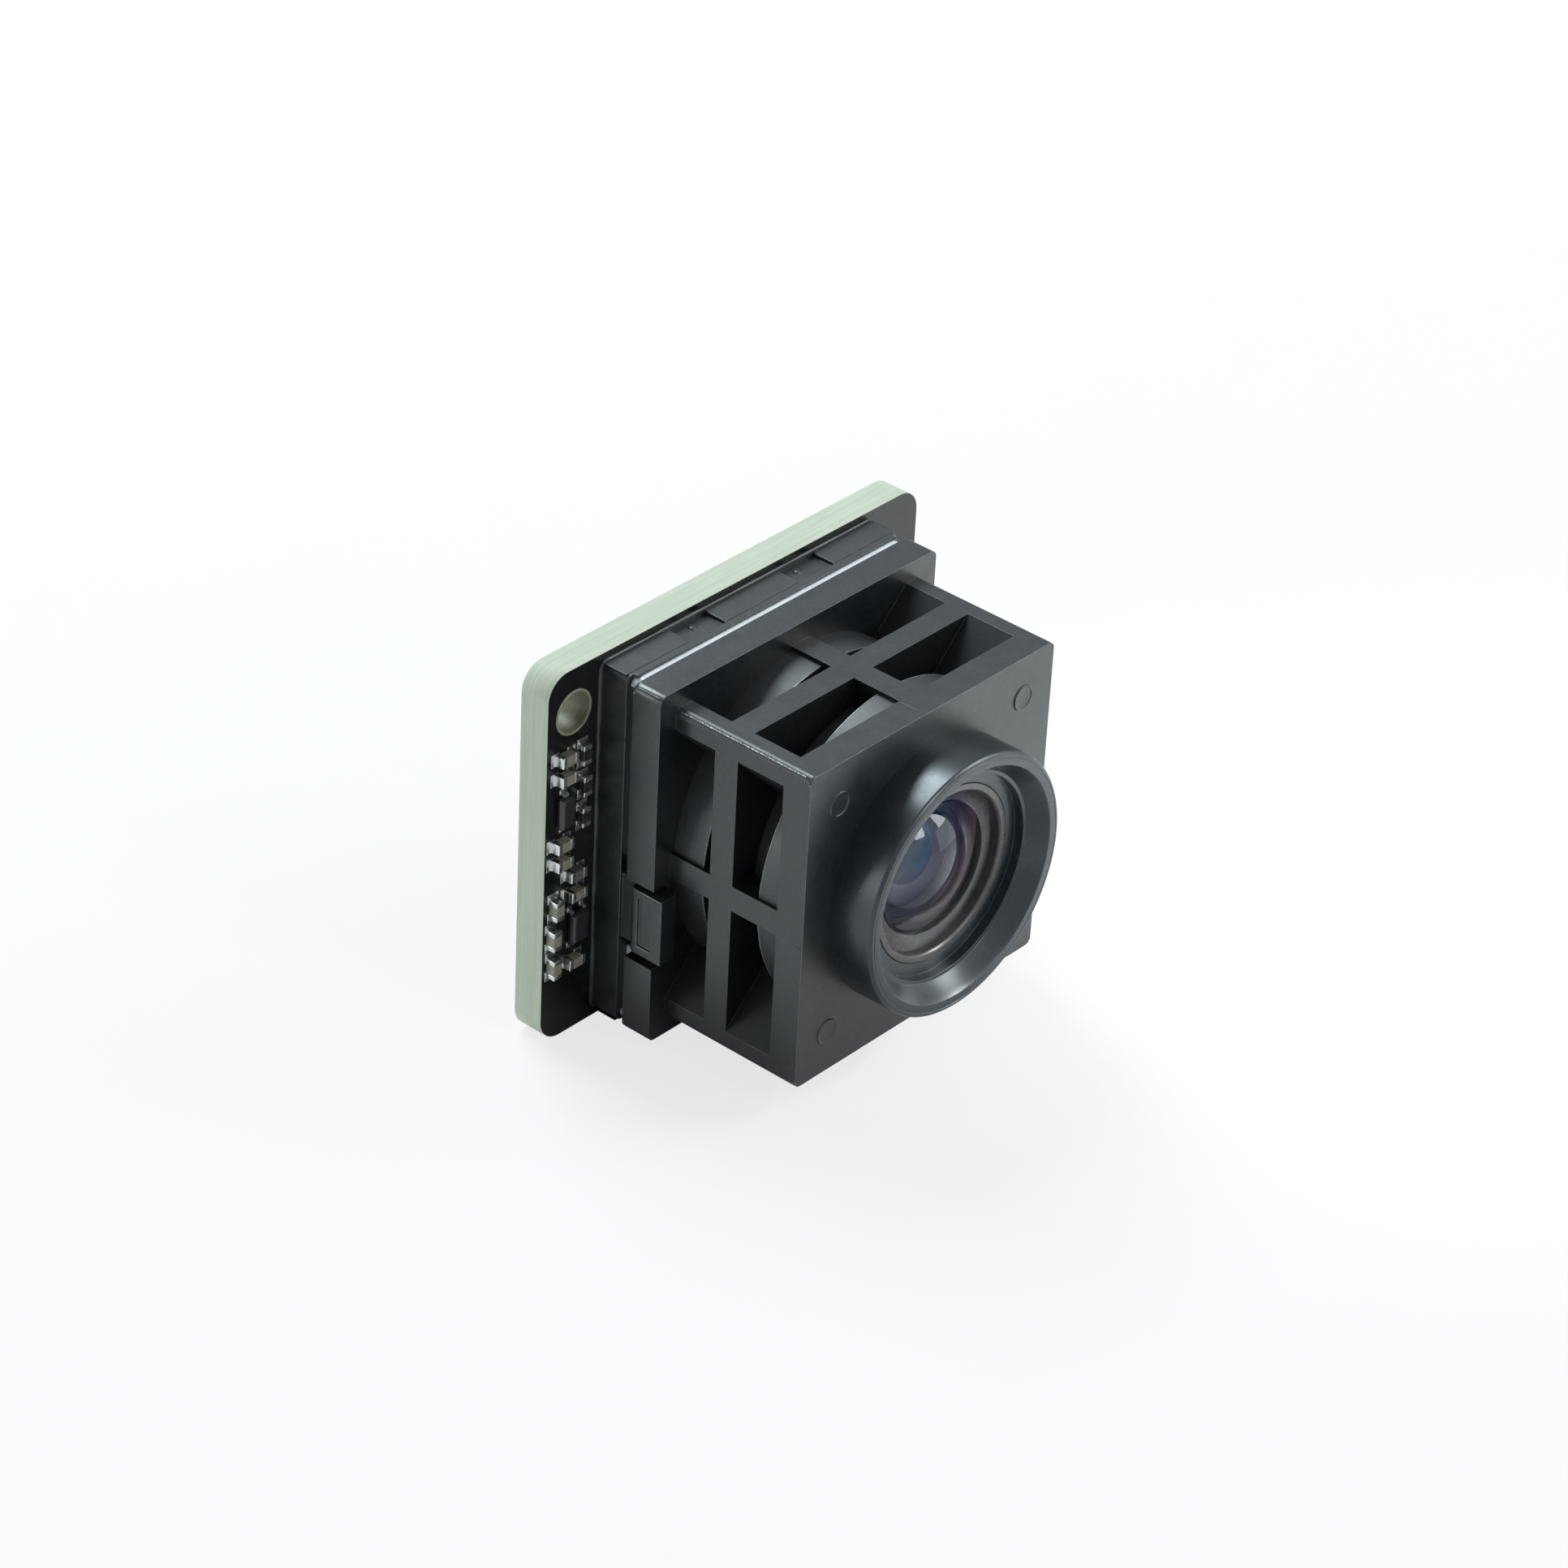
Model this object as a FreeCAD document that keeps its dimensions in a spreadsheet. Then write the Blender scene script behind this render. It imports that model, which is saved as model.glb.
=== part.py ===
import FreeCAD, Part
import math
import operator
import os
import Sketcher

# A small camera module: a board with a moulded lens housing clipped and glued to it.
# The lens looks along -Y, +Z is up and +X is to the right of somebody facing the lens.
# The origin is on the optical axis, in the rear face of the board, midway between the screw holes.
# "Forward" below is a distance towards the lens, along -Y. "Depth" is a distance back, along +Y.

# Driving dimensions, in millimetres
SIZES = [
    ("board_margin_side", 3.2, "board beyond the holder, left and right"),
    ("board_margin_top", 0.45, "board beyond the holder, top and bottom"),
    ("board_thickness", 1.6, "board, front to rear"),
    ("board_corner_radius", 1.2, "board, corners"),
    ("screw_hole_radius", 1.0, "two screw holes"),
    ("screw_inset_side", 1.6, "screw hole to the board's side edge"),
    ("screw_inset_top", 2.2, "screw hole to the board's upper or lower edge"),

    ("bond_thickness", 0.1, "adhesive between holder and board"),
    ("bond_margin", 0.15, "adhesive standing out round the holder's foot"),

    ("holder_setback", 0.2, "sensor holder inside the flange, left and right"),
    ("holder_overlap", 0.05, "sensor holder beyond the flange, top and bottom"),
    ("holder_depth", 1.45, "sensor holder, front to rear"),
    ("holder_window", 12.6, "square opening round the sensor"),
    ("holder_corner_radius", 0.4, "sensor holder, outer corners"),
    ("recess_from_middle", 2.4, "edge recess, near end to middle"),
    ("recess_length", 2.3, "edge recess, along the edge"),
    ("recess_depth", 0.2, "edge recess, below the edge pads"),
    ("recess_lip", 0.1, "edge recess, wall left at the front"),
    ("lip_length", 0.25, "lips in front of the holder's top and bottom edges"),
    ("lip_height", 0.15, "lips, bottom to top"),
    ("lip_end", 0.4, "lips inside the holder's sides"),

    ("hook_width", 3.35, "snap hook, bottom to top"),
    ("hook_drop", 2.77, "snap hook, middle below the optical axis"),
    ("hook_neck", 0.35, "snap hook, neck in the flange's notch"),
    ("hook_setback", 0.35, "snap hook, neck inside the flange's side"),
    ("hook_proud", 0.2, "snap hook, head beyond the flange's side"),
    ("hook_head_setback", 0.4, "snap hook, head in front of the flange's rear face"),
    ("hook_nose_length", 0.6, "snap hook, nose in front of the flange"),
    ("hook_catch", 0.15, "snap hook, nose over the flange's front face"),
    ("hook_clearance", 0.05, "snap hook to flange, front"),
    ("hook_side_clearance", 0.1, "snap hook to the notch's floor"),
    ("hook_edge", 0.1, "snap hook, eased edges of its head"),
    ("hook_lead", 0.25, "snap hook, slope at the rear of its head"),
    ("hook_pocket_depth", 0.15, "shallow pocket in the hook's outer face"),
    ("hook_pocket_length", 0.75, "hook pocket, front to rear"),
    ("hook_pocket_inset", 0.45, "hook pocket to the head's rear end"),
    ("hook_pocket_border", 0.45, "hook pocket to the hook's upper and lower edges"),
    ("notch_play_above", 0.15, "flange notch above the hook"),
    ("notch_play_below", 0.6, "flange notch below the hook"),

    ("seal_gap", 0.55, "holder to flange, filled by the seal"),
    ("seal_inset_side", 0.4, "seal inside the flange, left and right"),
    ("seal_inset_top", 0.15, "seal inside the flange, top and bottom"),
    ("seal_clearance", 0.1, "seal to the necks of the snap hooks"),
    ("seal_play", 0.65, "seal's narrower part beyond the snap hooks"),
    ("seal_width", 1.1, "seal, across the bead"),
    ("seal_corner_radius", 0.5, "seal, outer corners"),

    ("flange_side", 1.0, "housing flange beyond the box, left and right"),
    ("flange_top", 0.95, "housing flange beyond the box, top and bottom"),
    ("flange_thickness", 1.6, "housing flange, front to rear"),
    ("flange_corner_radius", 0.4, "housing flange, corners"),
    ("flange_edge_chamfer", 0.12, "housing flange, eased rear edge"),
    ("box_width", 16.0, "housing box, across each way"),
    ("box_depth", 7.7, "housing box, in front of the flange"),
    ("box_corner_radius", 0.35, "housing box, long edges"),
    ("box_edge_chamfer", 0.12, "housing box, edge of the front plate"),
    ("front_plate_thickness", 1.5, "housing front plate"),
    ("cross_bar", 1.3, "bar across the middle of each side"),
    ("rear_bay_length", 2.3, "rear bays, front to rear"),
    ("edge_bar", 1.0, "bars along the box's long edges"),
    ("middle_rib", 1.25, "rib along the middle of each side"),
    ("collar_setback", 0.2, "housing's round collars below the box's sides"),
    ("front_collar_length", 1.25, "collar behind the front plate"),
    ("rear_collar_length", 1.75, "collar in front of the flange"),
    ("waist_step", 1.2, "housing's barrel between the collars, below them"),
    ("rear_bore_radius", 4.4, "light path behind the lens barrel"),
    ("rear_ledge_thickness", 1.4, "ledge behind the lens barrel's bore"),
    ("filter_width", 9.4, "infrared filter, across each way"),
    ("filter_thickness", 0.3, "infrared filter"),
    ("filter_clearance", 0.1, "infrared filter to its seat, each side"),
    ("filter_seat_depth", 0.5, "seat in the flange's rear face"),

    ("head_radius", 6.3, "lens barrel, head"),
    ("head_length", 2.35, "lens barrel, head in front of the plate"),
    ("head_edge", 0.12, "lens barrel, outer edge of the rim"),
    ("rim_inner_radius", 5.68, "lens barrel, front face of the rim"),
    ("rim_round_depth", 0.18, "lens barrel, eased inner edge of the rim"),
    ("rim_round_width", 0.13, "lens barrel, eased inner edge of the rim"),
    ("cone_end_radius", 5.08, "lens barrel, rear end of the inner cone"),
    ("cone_end_depth", 0.88, "lens barrel, ledge below the rim"),
    ("ledge_width", 0.17, "lens barrel, narrow ledge"),
    ("floor_depth", 1.36, "lens barrel, dark floor below the rim"),
    ("barrel_radius", 5.0, "lens barrel, body in the housing"),
    ("barrel_clearance", 0.03, "lens barrel to the housing's bore"),
    ("lens_bore_radius", 4.3, "lens barrel, bore for the lenses"),
    ("lens_clearance", 0.03, "lenses and rings to their bore"),
    ("rear_lip_radius", 3.1, "lens barrel, opening of the rear lip"),
    ("rear_lip_thickness", 0.8, "lens barrel, rear lip"),

    ("ring_rise", 0.02, "retaining ring in front of the dark floor"),
    ("ring_length", 0.45, "retaining ring, front to rear"),
    ("ring_edge", 0.08, "retaining ring, eased inner edge"),
    ("ring_clearance", 0.05, "retaining ring to the front lens's dome"),

    ("front_lens_edge", 0.7, "front lens, thickness at its rim"),
    ("front_lens_optic_radius", 3.85, "front lens, domed part"),
    ("front_lens_dome", 0.7, "front lens, height of its dome"),
    ("front_lens_cup_radius", 3.0, "front lens, hollow at the rear"),
    ("front_lens_cup_depth", 1.0, "front lens, depth of the hollow"),
    ("front_spacer_length", 1.1, "spacer behind the front lens"),
    ("front_spacer_radius", 3.1, "spacer behind the front lens, opening"),
    ("front_spacer_taper", 0.6, "spacer behind the front lens, narrower at the rear"),
    ("second_lens_edge", 1.2, "second lens, thickness at its rim"),
    ("second_lens_optic_radius", 2.4, "second lens, domed part"),
    ("second_lens_dome", 0.6, "second lens, height of its front dome"),
    ("stop_thickness", 0.1, "aperture stop"),
    ("stop_radius", 1.3, "aperture stop, opening"),
    ("rear_spacer_length", 0.85, "spacer behind the aperture stop"),
    ("rear_spacer_radius", 3.1, "spacer behind the aperture stop, opening"),
    ("rear_lens_edge", 1.4, "rear lens, thickness at its rim"),
    ("rear_lens_dome", 0.6, "rear lens, height of its front dome"),
    ("rear_lens_optic_radius", 3.0, "rear lens, domed part"),

    ("package_width", 8.8, "sensor package, side to side"),
    ("package_height", 8.0, "sensor package, bottom to top"),
    ("package_depth", 1.0, "sensor package, front to rear"),
    ("package_wall", 0.9, "sensor package, wall round its cavity"),
    ("package_floor", 0.4, "sensor package, floor of its cavity"),
    ("die_gap", 0.4, "sensor die to the cavity's wall"),
    ("die_thickness", 0.3, "sensor die"),
    ("cover_inset", 0.4, "cover glass inwards of the package's edge"),
    ("cover_thickness", 0.35, "cover glass"),

    ("connector_width", 9.2, "rear connector, side to side"),
    ("connector_height", 3.2, "rear connector, bottom to top"),
    ("connector_depth", 1.1, "rear connector, out from the board"),
    ("connector_end_wall", 0.8, "rear connector, end walls"),
    ("connector_side_wall", 0.45, "rear connector, long walls"),
    ("connector_slot", 0.75, "rear connector, slot round its tongue"),
    ("connector_slot_depth", 0.85, "rear connector, depth of the slot"),
    ("contact_count", 14, "contacts in each row"),
    ("contact_pitch", 0.5, "contact to contact"),
    ("contact_width", 0.22, "contact, along the row"),
    ("contact_thickness", 0.12, "contact, sheet thickness"),
    ("contact_foot", 0.4, "contact, foot beyond the long wall"),
    ("contact_rise", 0.8, "contact, height of its spring leg"),
    ("contact_clearance", 0.03, "contact to the connector's plastic"),

    ("chip_length", 1.0, "chip parts, end to end"),
    ("chip_width", 0.5, "chip parts, across"),
    ("chip_end", 0.25, "chip parts, metal end"),
    ("chip_end_rise", 0.02, "chip parts, metal end beyond the body"),
    ("capacitor_rise", 0.5, "chip capacitors, out from the board"),
    ("resistor_rise", 0.35, "chip resistors, out from the board"),
    ("ferrite_rise", 0.45, "chip ferrite, out from the board"),
    ("diode_length", 1.55, "diode package, bottom to top"),
    ("diode_width", 0.85, "diode package, across"),
    ("diode_rise", 0.45, "diode package, out from the board"),
    ("regulator_length", 1.5, "regulator package, bottom to top"),
    ("regulator_width", 1.0, "regulator package, across"),
    ("regulator_rise", 0.45, "regulator package, out from the board"),
    ("package_bevel", 0.1, "small packages, bevel of the top edges"),
    ("lead_width", 0.25, "small packages, lead"),
    ("lead_length", 0.2, "small packages, lead beyond the plastic"),
    ("lead_rise", 0.12, "small packages, lead thickness"),
]

# Chip parts on the board's left margin: name, inset from the board's left edge, height above the
# optical axis, and whether the part lies along the X or the Z axis
CHIPS = [
    ("capacitor_1", "capacitor", 1.00, 5.27, "X"),
    ("capacitor_2", "capacitor", 1.00, 4.27, "X"),
    ("capacitor_3", "capacitor", 0.85, 0.90, "X"),
    ("capacitor_4", "capacitor", 0.87, -0.04, "X"),
    ("capacitor_5", "capacitor", 1.80, -2.05, "X"),
    ("capacitor_6", "capacitor", 0.58, -2.35, "Z"),
    ("capacitor_7", "capacitor", 0.46, -3.88, "Z"),
    ("capacitor_8", "capacitor", 0.50, -5.40, "Z"),
    ("capacitor_9", "capacitor", 1.75, -5.60, "X"),
    ("resistor_1", "resistor", 2.20, 4.96, "Z"),
    ("resistor_2", "resistor", 2.28, 3.33, "Z"),
    ("resistor_3", "resistor", 2.25, 1.75, "Z"),
    ("ferrite_1", "ferrite", 1.77, -1.02, "X"),
]
DIODE_PLACE = (1.05, 2.50)
REGULATOR_PLACE = (2.02, -3.90)


class Size:
    """A length that knows its number and the formula that ties it to the sheet's cells."""

    def __init__(self, number, formula):
        self.number = number
        self.formula = formula

    def __add__(self, other):
        return joined(self, "+", other)

    def __radd__(self, other):
        return joined(other, "+", self)

    def __sub__(self, other):
        return joined(self, "-", other)

    def __rsub__(self, other):
        return joined(other, "-", self)

    def __mul__(self, other):
        return joined(self, "*", other)

    def __rmul__(self, other):
        return joined(other, "*", self)

    def __truediv__(self, other):
        return joined(self, "/", other)

    def __neg__(self):
        return joined(0, "-", self)


OPERATIONS = {"+": operator.add, "-": operator.sub, "*": operator.mul, "/": operator.truediv}


def as_size(value):
    """A plain number as a Size; a Size as it is."""
    if isinstance(value, Size):
        return value
    return Size(float(value), str(float(value)))


def joined(left, sign, right):
    """The Size that an operation on two values gives."""
    left = as_size(left)
    right = as_size(right)
    number = OPERATIONS[sign](left.number, right.number)
    return Size(number, "(" + left.formula + " " + sign + " " + right.formula + ")")


def root(value):
    """The square root of a Size."""
    return Size(math.sqrt(value.number), "sqrt(" + value.formula + ")")


class Sizes:
    """Every cell of the sheet as an attribute of the same name."""


# The document and its sheet of sizes
doc = FreeCAD.newDocument("camera_module")
sheet = doc.addObject("Spreadsheet::Sheet", "sizes")
rows = list(SIZES)
for chip_name, chip_kind, chip_inset, chip_height, chip_axis in CHIPS:
    rows.append((chip_name + "_inset", chip_inset, chip_name + " to the board's left edge"))
    rows.append((chip_name + "_height", chip_height, chip_name + " above the optical axis"))
rows.append(("diode_inset", DIODE_PLACE[0], "diode to the board's left edge"))
rows.append(("diode_height", DIODE_PLACE[1], "diode above the optical axis"))
rows.append(("regulator_inset", REGULATOR_PLACE[0], "regulator to the board's left edge"))
rows.append(("regulator_height", REGULATOR_PLACE[1], "regulator above the optical axis"))
for row_number, (alias, value, meaning) in enumerate(rows, start=1):
    sheet.set("A" + str(row_number), meaning)
    sheet.set("B" + str(row_number), str(value))
    sheet.setAlias("B" + str(row_number), alias)
doc.recompute()

mm = Sizes()
for alias, value, meaning in rows:
    setattr(mm, alias, Size(float(getattr(sheet, alias)), "sizes." + alias))

# Widths and heights, each from the piece that it carries
flange_width = mm.box_width + 2 * mm.flange_side
flange_height = mm.box_width + 2 * mm.flange_top
holder_width = flange_width - 2 * mm.holder_setback
holder_height = flange_height + 2 * mm.holder_overlap
board_width = holder_width + 2 * mm.board_margin_side
board_height = holder_height + 2 * mm.board_margin_top
screw_hole_x = board_width / 2 - mm.screw_inset_side
screw_hole_z = board_height / 2 - mm.screw_inset_top
collar_radius = mm.box_width / 2 - mm.collar_setback
waist_radius = collar_radius - mm.waist_step

# Places along the optical axis: forward from the board's rear face
holder_rear = mm.board_thickness + mm.bond_thickness
seal_rear = holder_rear + mm.holder_depth
flange_rear = seal_rear + mm.seal_gap
flange_front = flange_rear + mm.flange_thickness
plate_front = flange_front + mm.box_depth

# Places of the lens stack: depth behind the rim of the lens barrel's head
rim = plate_front + mm.head_length
ring_front = mm.floor_depth - mm.ring_rise
front_lens_place = ring_front + mm.ring_length
front_spacer_place = front_lens_place + mm.front_lens_edge
second_lens_place = front_spacer_place + mm.front_spacer_length
stop_place = second_lens_place + mm.second_lens_edge
rear_spacer_place = stop_place + mm.stop_thickness
rear_lens_place = rear_spacer_place + mm.rear_spacer_length
lens_bore_end = rear_lens_place + mm.rear_lens_edge
barrel_end = lens_bore_end + mm.rear_lip_thickness
lens_radius = mm.lens_bore_radius - mm.lens_clearance


def new_body(label, forward):
    """An empty body whose own origin lies a distance forward of the board's rear face."""
    body = doc.addObject("PartDesign::Body", label)
    body.Label = label
    body.setExpression("Placement.Base.y", (-as_size(forward)).formula)
    return body


def datum(body, role):
    """One of the body's own origin planes or axes."""
    return next(item for item in body.Origin.OriginFeatures if item.Role == role)


def new_sketch(body, name, plane, offset=0):
    """A sketch on one of the body's origin planes, moved along the plane's normal."""
    sketch = body.newObject("Sketcher::SketchObject", name)
    sketch.AttachmentSupport = [(datum(body, plane), "")]
    sketch.MapMode = "FlatFace"
    sketch.setExpression("AttachmentOffset.Base.z", as_size(offset).formula)
    return sketch


def front_sketch(body, name, forward=0):
    """A sketch seen from the front: its x is X, its y is Z and its normal points forward."""
    return new_sketch(body, name, "XZ_Plane", forward)


def bind(sketch, constraint, size):
    """Adds a constraint and ties it to a size."""
    index = sketch.addConstraint(constraint)
    sketch.setExpression("Constraints[" + str(index) + "]", size.formula)


def arc_between(start, end):
    """An arc centred on the sketch's vertical axis, and whether it runs from start to end."""
    middle = (end.x ** 2 + end.y ** 2 - start.x ** 2 - start.y ** 2) / (2 * (end.y - start.y))
    centre = FreeCAD.Vector(0, middle, 0)
    circle = Part.Circle(centre, FreeCAD.Vector(0, 0, 1), (start - centre).Length)
    start_angle = math.atan2(start.y - middle, start.x)
    end_angle = math.atan2(end.y - middle, end.x)
    forwards = (end_angle - start_angle) % (2 * math.pi) < math.pi
    if forwards:
        return Part.ArcOfCircle(circle, start_angle, end_angle), True
    return Part.ArcOfCircle(circle, end_angle, start_angle), False


def outline(sketch, corners, arcs=()):
    """Closes a loop through the corners. A side whose number is in arcs is an arc about the axis."""
    corners = [(as_size(x), as_size(y)) for x, y in corners]
    points = [FreeCAD.Vector(x.number, y.number, 0) for x, y in corners]
    count = len(points)
    ends = []
    for side in range(count):
        start = points[side]
        end = points[(side + 1) % count]
        if side in arcs:
            curve, forwards = arc_between(start, end)
            index = sketch.addGeometry(curve)
            ends.append((index, 1, 2) if forwards else (index, 2, 1))
        else:
            index = sketch.addGeometry(Part.LineSegment(start, end))
            ends.append((index, 1, 2))
    for side in range(count):
        index, first, last = ends[side]
        next_index, next_first, next_last = ends[(side + 1) % count]
        sketch.addConstraint(Sketcher.Constraint("Coincident", index, last, next_index, next_first))
    for side, (x, y) in enumerate(corners):
        index, first, last = ends[side]
        bind(sketch, Sketcher.Constraint("DistanceX", -1, 1, index, first, x.number), x)
        bind(sketch, Sketcher.Constraint("DistanceY", -1, 1, index, first, y.number), y)
        if side in arcs:
            sketch.addConstraint(Sketcher.Constraint("DistanceX", -1, 1, index, 3, 0.0))


def rectangle(sketch, left, right, bottom, top):
    """A rectangle between four sizes."""
    outline(sketch, [(left, bottom), (right, bottom), (right, top), (left, top)])


def centred_rectangle(sketch, width, height):
    """A rectangle centred on the optical axis."""
    half_width = as_size(width) / 2
    half_height = as_size(height) / 2
    rectangle(sketch, -half_width, half_width, -half_height, half_height)


def circle(sketch, x, y, radius):
    """A circle whose centre and radius are sizes."""
    x = as_size(x)
    y = as_size(y)
    centre = FreeCAD.Vector(x.number, y.number, 0)
    index = sketch.addGeometry(Part.Circle(centre, FreeCAD.Vector(0, 0, 1), radius.number))
    bind(sketch, Sketcher.Constraint("DistanceX", -1, 1, index, 3, x.number), x)
    bind(sketch, Sketcher.Constraint("DistanceY", -1, 1, index, 3, y.number), y)
    bind(sketch, Sketcher.Constraint("Radius", index, radius.number), radius)


def pad(body, name, sketch, length):
    """Material from the sketch along its normal."""
    feature = body.newObject("PartDesign::Pad", name)
    feature.Profile = sketch
    feature.setExpression("Length", as_size(length).formula)
    sketch.Visibility = False
    body.Tip = feature
    return feature


def pocket(body, name, sketch, length=None, forwards=False):
    """A cut from the sketch against its normal, or along it; without a length it goes right through."""
    feature = body.newObject("PartDesign::Pocket", name)
    feature.Profile = sketch
    feature.Reversed = forwards
    if length is None:
        feature.Type = "ThroughAll"
    else:
        feature.setExpression("Length", as_size(length).formula)
    sketch.Visibility = False
    body.Tip = feature
    return feature


def turned(label, depth, profile, arcs=()):
    """A turned piece: a profile of (radius, depth) points, its front a depth behind the barrel's rim."""
    body = new_body(label, rim - depth)
    sketch = new_sketch(body, label + "_profile", "XY_Plane")
    outline(sketch, profile, arcs)
    feature = body.newObject("PartDesign::Revolution", label + "_turned")
    feature.Profile = sketch
    feature.ReferenceAxis = (sketch, ["V_Axis"])
    feature.Angle = 360.0
    body.Tip = feature
    return body


def quarter_pattern(body, name, original):
    """Four copies of a feature round the optical axis."""
    pattern = body.newObject("PartDesign::PolarPattern", name)
    pattern.Originals = [original]
    pattern.Axis = (datum(body, "Y_Axis"), [""])
    pattern.Angle = 360.0
    pattern.Occurrences = 4
    body.Tip = pattern
    return pattern


def side_pattern(body, name, originals):
    """The same features again on the other side of the optical axis."""
    pattern = body.newObject("PartDesign::Mirrored", name)
    pattern.Originals = originals
    pattern.MirrorPlane = (datum(body, "YZ_Plane"), [""])
    body.Tip = pattern
    return pattern


def edge_names(feature, wanted):
    """The names of a feature's edges that a test on their ends accepts."""
    doc.recompute()
    names = []
    for number, edge in enumerate(feature.Shape.Edges, start=1):
        if len(edge.Vertexes) == 2 and wanted(edge.Vertexes[0].Point, edge.Vertexes[1].Point):
            names.append("Edge" + str(number))
    return names


def dressed(body, kind, name, feature, names, size):
    """A fillet or chamfer on named edges."""
    finish = body.newObject("PartDesign::" + kind, name)
    finish.Base = (feature, names)
    if kind == "Fillet":
        finish.setExpression("Radius", size.formula)
    else:
        finish.setExpression("Size", size.formula)
    body.Tip = finish
    return finish


def runs_along_y(half_width, half_height):
    """Accepts the edges along Y at the corners of a rectangle about the axis."""
    def wanted(start, end):
        level = math.isclose(start.x, end.x, abs_tol=1e-6) and math.isclose(start.z, end.z, abs_tol=1e-6)
        corner = math.isclose(abs(start.x), half_width.number, abs_tol=1e-4)
        return level and corner and math.isclose(abs(start.z), half_height.number, abs_tol=1e-4)
    return wanted


def circuit_board():
    """The board: rounded corners and two screw holes on a diagonal."""
    body = new_body("circuit_board", 0)
    shape = front_sketch(body, "board_outline")
    centred_rectangle(shape, board_width, board_height)
    slab = pad(body, "board_slab", shape, mm.board_thickness)
    corners = edge_names(slab, runs_along_y(board_width / 2, board_height / 2))
    dressed(body, "Fillet", "board_corners", slab, corners, mm.board_corner_radius)
    holes = front_sketch(body, "board_screw_holes", mm.board_thickness)
    circle(holes, -screw_hole_x, screw_hole_z, mm.screw_hole_radius)
    circle(holes, screw_hole_x, -screw_hole_z, mm.screw_hole_radius)
    pocket(body, "board_holes", holes)
    return body


def holder_bond():
    """The thin bead of adhesive that fixes the sensor holder to the board."""
    body = new_body("holder_bond", mm.board_thickness)
    shape = front_sketch(body, "bond_outline")
    centred_rectangle(shape, holder_width + 2 * mm.bond_margin, holder_height + 2 * mm.bond_margin)
    centred_rectangle(shape, mm.holder_window, mm.holder_window)
    pad(body, "bond_bead", shape, mm.bond_thickness)
    return body


def sensor_holder():
    """The moulded frame on the board: edge pads and, at each side, a snap hook over the flange."""
    body = new_body("sensor_holder", holder_rear)
    shape = front_sketch(body, "holder_outline")
    centred_rectangle(shape, holder_width, holder_height)
    block = pad(body, "holder_block", shape, mm.holder_depth)
    corners = edge_names(block, runs_along_y(holder_width / 2, holder_height / 2))
    dressed(body, "Fillet", "holder_corners", block, corners, mm.holder_corner_radius)

    window = front_sketch(body, "holder_window_outline", mm.holder_depth)
    centred_rectangle(window, mm.holder_window, mm.holder_window)
    pocket(body, "holder_window", window)

    near = mm.recess_from_middle
    far = mm.recess_from_middle + mm.recess_length
    low = holder_height / 2 - mm.recess_depth
    high = holder_height / 2 + mm.recess_depth
    recesses = front_sketch(body, "recess_outlines")
    for left, right in ((near, far), (-far, -near)):
        rectangle(recesses, left, right, low, high)
        rectangle(recesses, left, right, -high, -low)
    pocket(body, "edge_recesses", recesses, mm.holder_depth - mm.recess_lip, forwards=True)

    lips = front_sketch(body, "lip_outlines", mm.holder_depth)
    lip_side = holder_width / 2 - mm.lip_end
    lip_top = holder_height / 2
    lip_foot = lip_top - mm.lip_height
    rectangle(lips, -lip_side, lip_side, lip_foot, lip_top)
    rectangle(lips, -lip_side, lip_side, -lip_top, -lip_foot)
    pad(body, "lips", lips, mm.lip_length)

    side = flange_width / 2
    outer = side + mm.hook_proud
    neck_outer = side - mm.hook_setback
    inner = neck_outer - mm.hook_neck
    nose = inner - mm.hook_side_clearance - mm.hook_catch
    head = mm.holder_depth + mm.seal_gap + mm.hook_head_setback
    catch = mm.holder_depth + mm.seal_gap + mm.flange_thickness + mm.hook_clearance
    tip = catch + mm.hook_nose_length
    hook_shape = new_sketch(body, "hook_outline", "XY_Plane", -mm.hook_drop - mm.hook_width / 2)
    outline(hook_shape, [
        (inner, -mm.holder_depth / 2),
        (neck_outer, -mm.holder_depth / 2),
        (neck_outer, -head),
        (outer - mm.hook_edge, -head),
        (outer, -head - mm.hook_lead),
        (outer, -tip + mm.hook_edge),
        (outer - mm.hook_edge, -tip),
        (inner, -tip),
        (nose, -tip + mm.hook_nose_length / 2),
        (nose, -catch),
        (inner, -catch),
    ])
    hook = pad(body, "hook", hook_shape, mm.hook_width)

    hook_pocket = new_sketch(body, "hook_pocket_outline", "YZ_Plane", outer)
    pocket_rear = -head - mm.hook_pocket_inset
    half_pocket = mm.hook_width / 2 - mm.hook_pocket_border
    rectangle(hook_pocket, pocket_rear - mm.hook_pocket_length, pocket_rear,
              -mm.hook_drop - half_pocket, -mm.hook_drop + half_pocket)
    dent = pocket(body, "hook_pocket", hook_pocket, mm.hook_pocket_depth)
    side_pattern(body, "both_hooks", [hook, dent])
    return body


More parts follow.
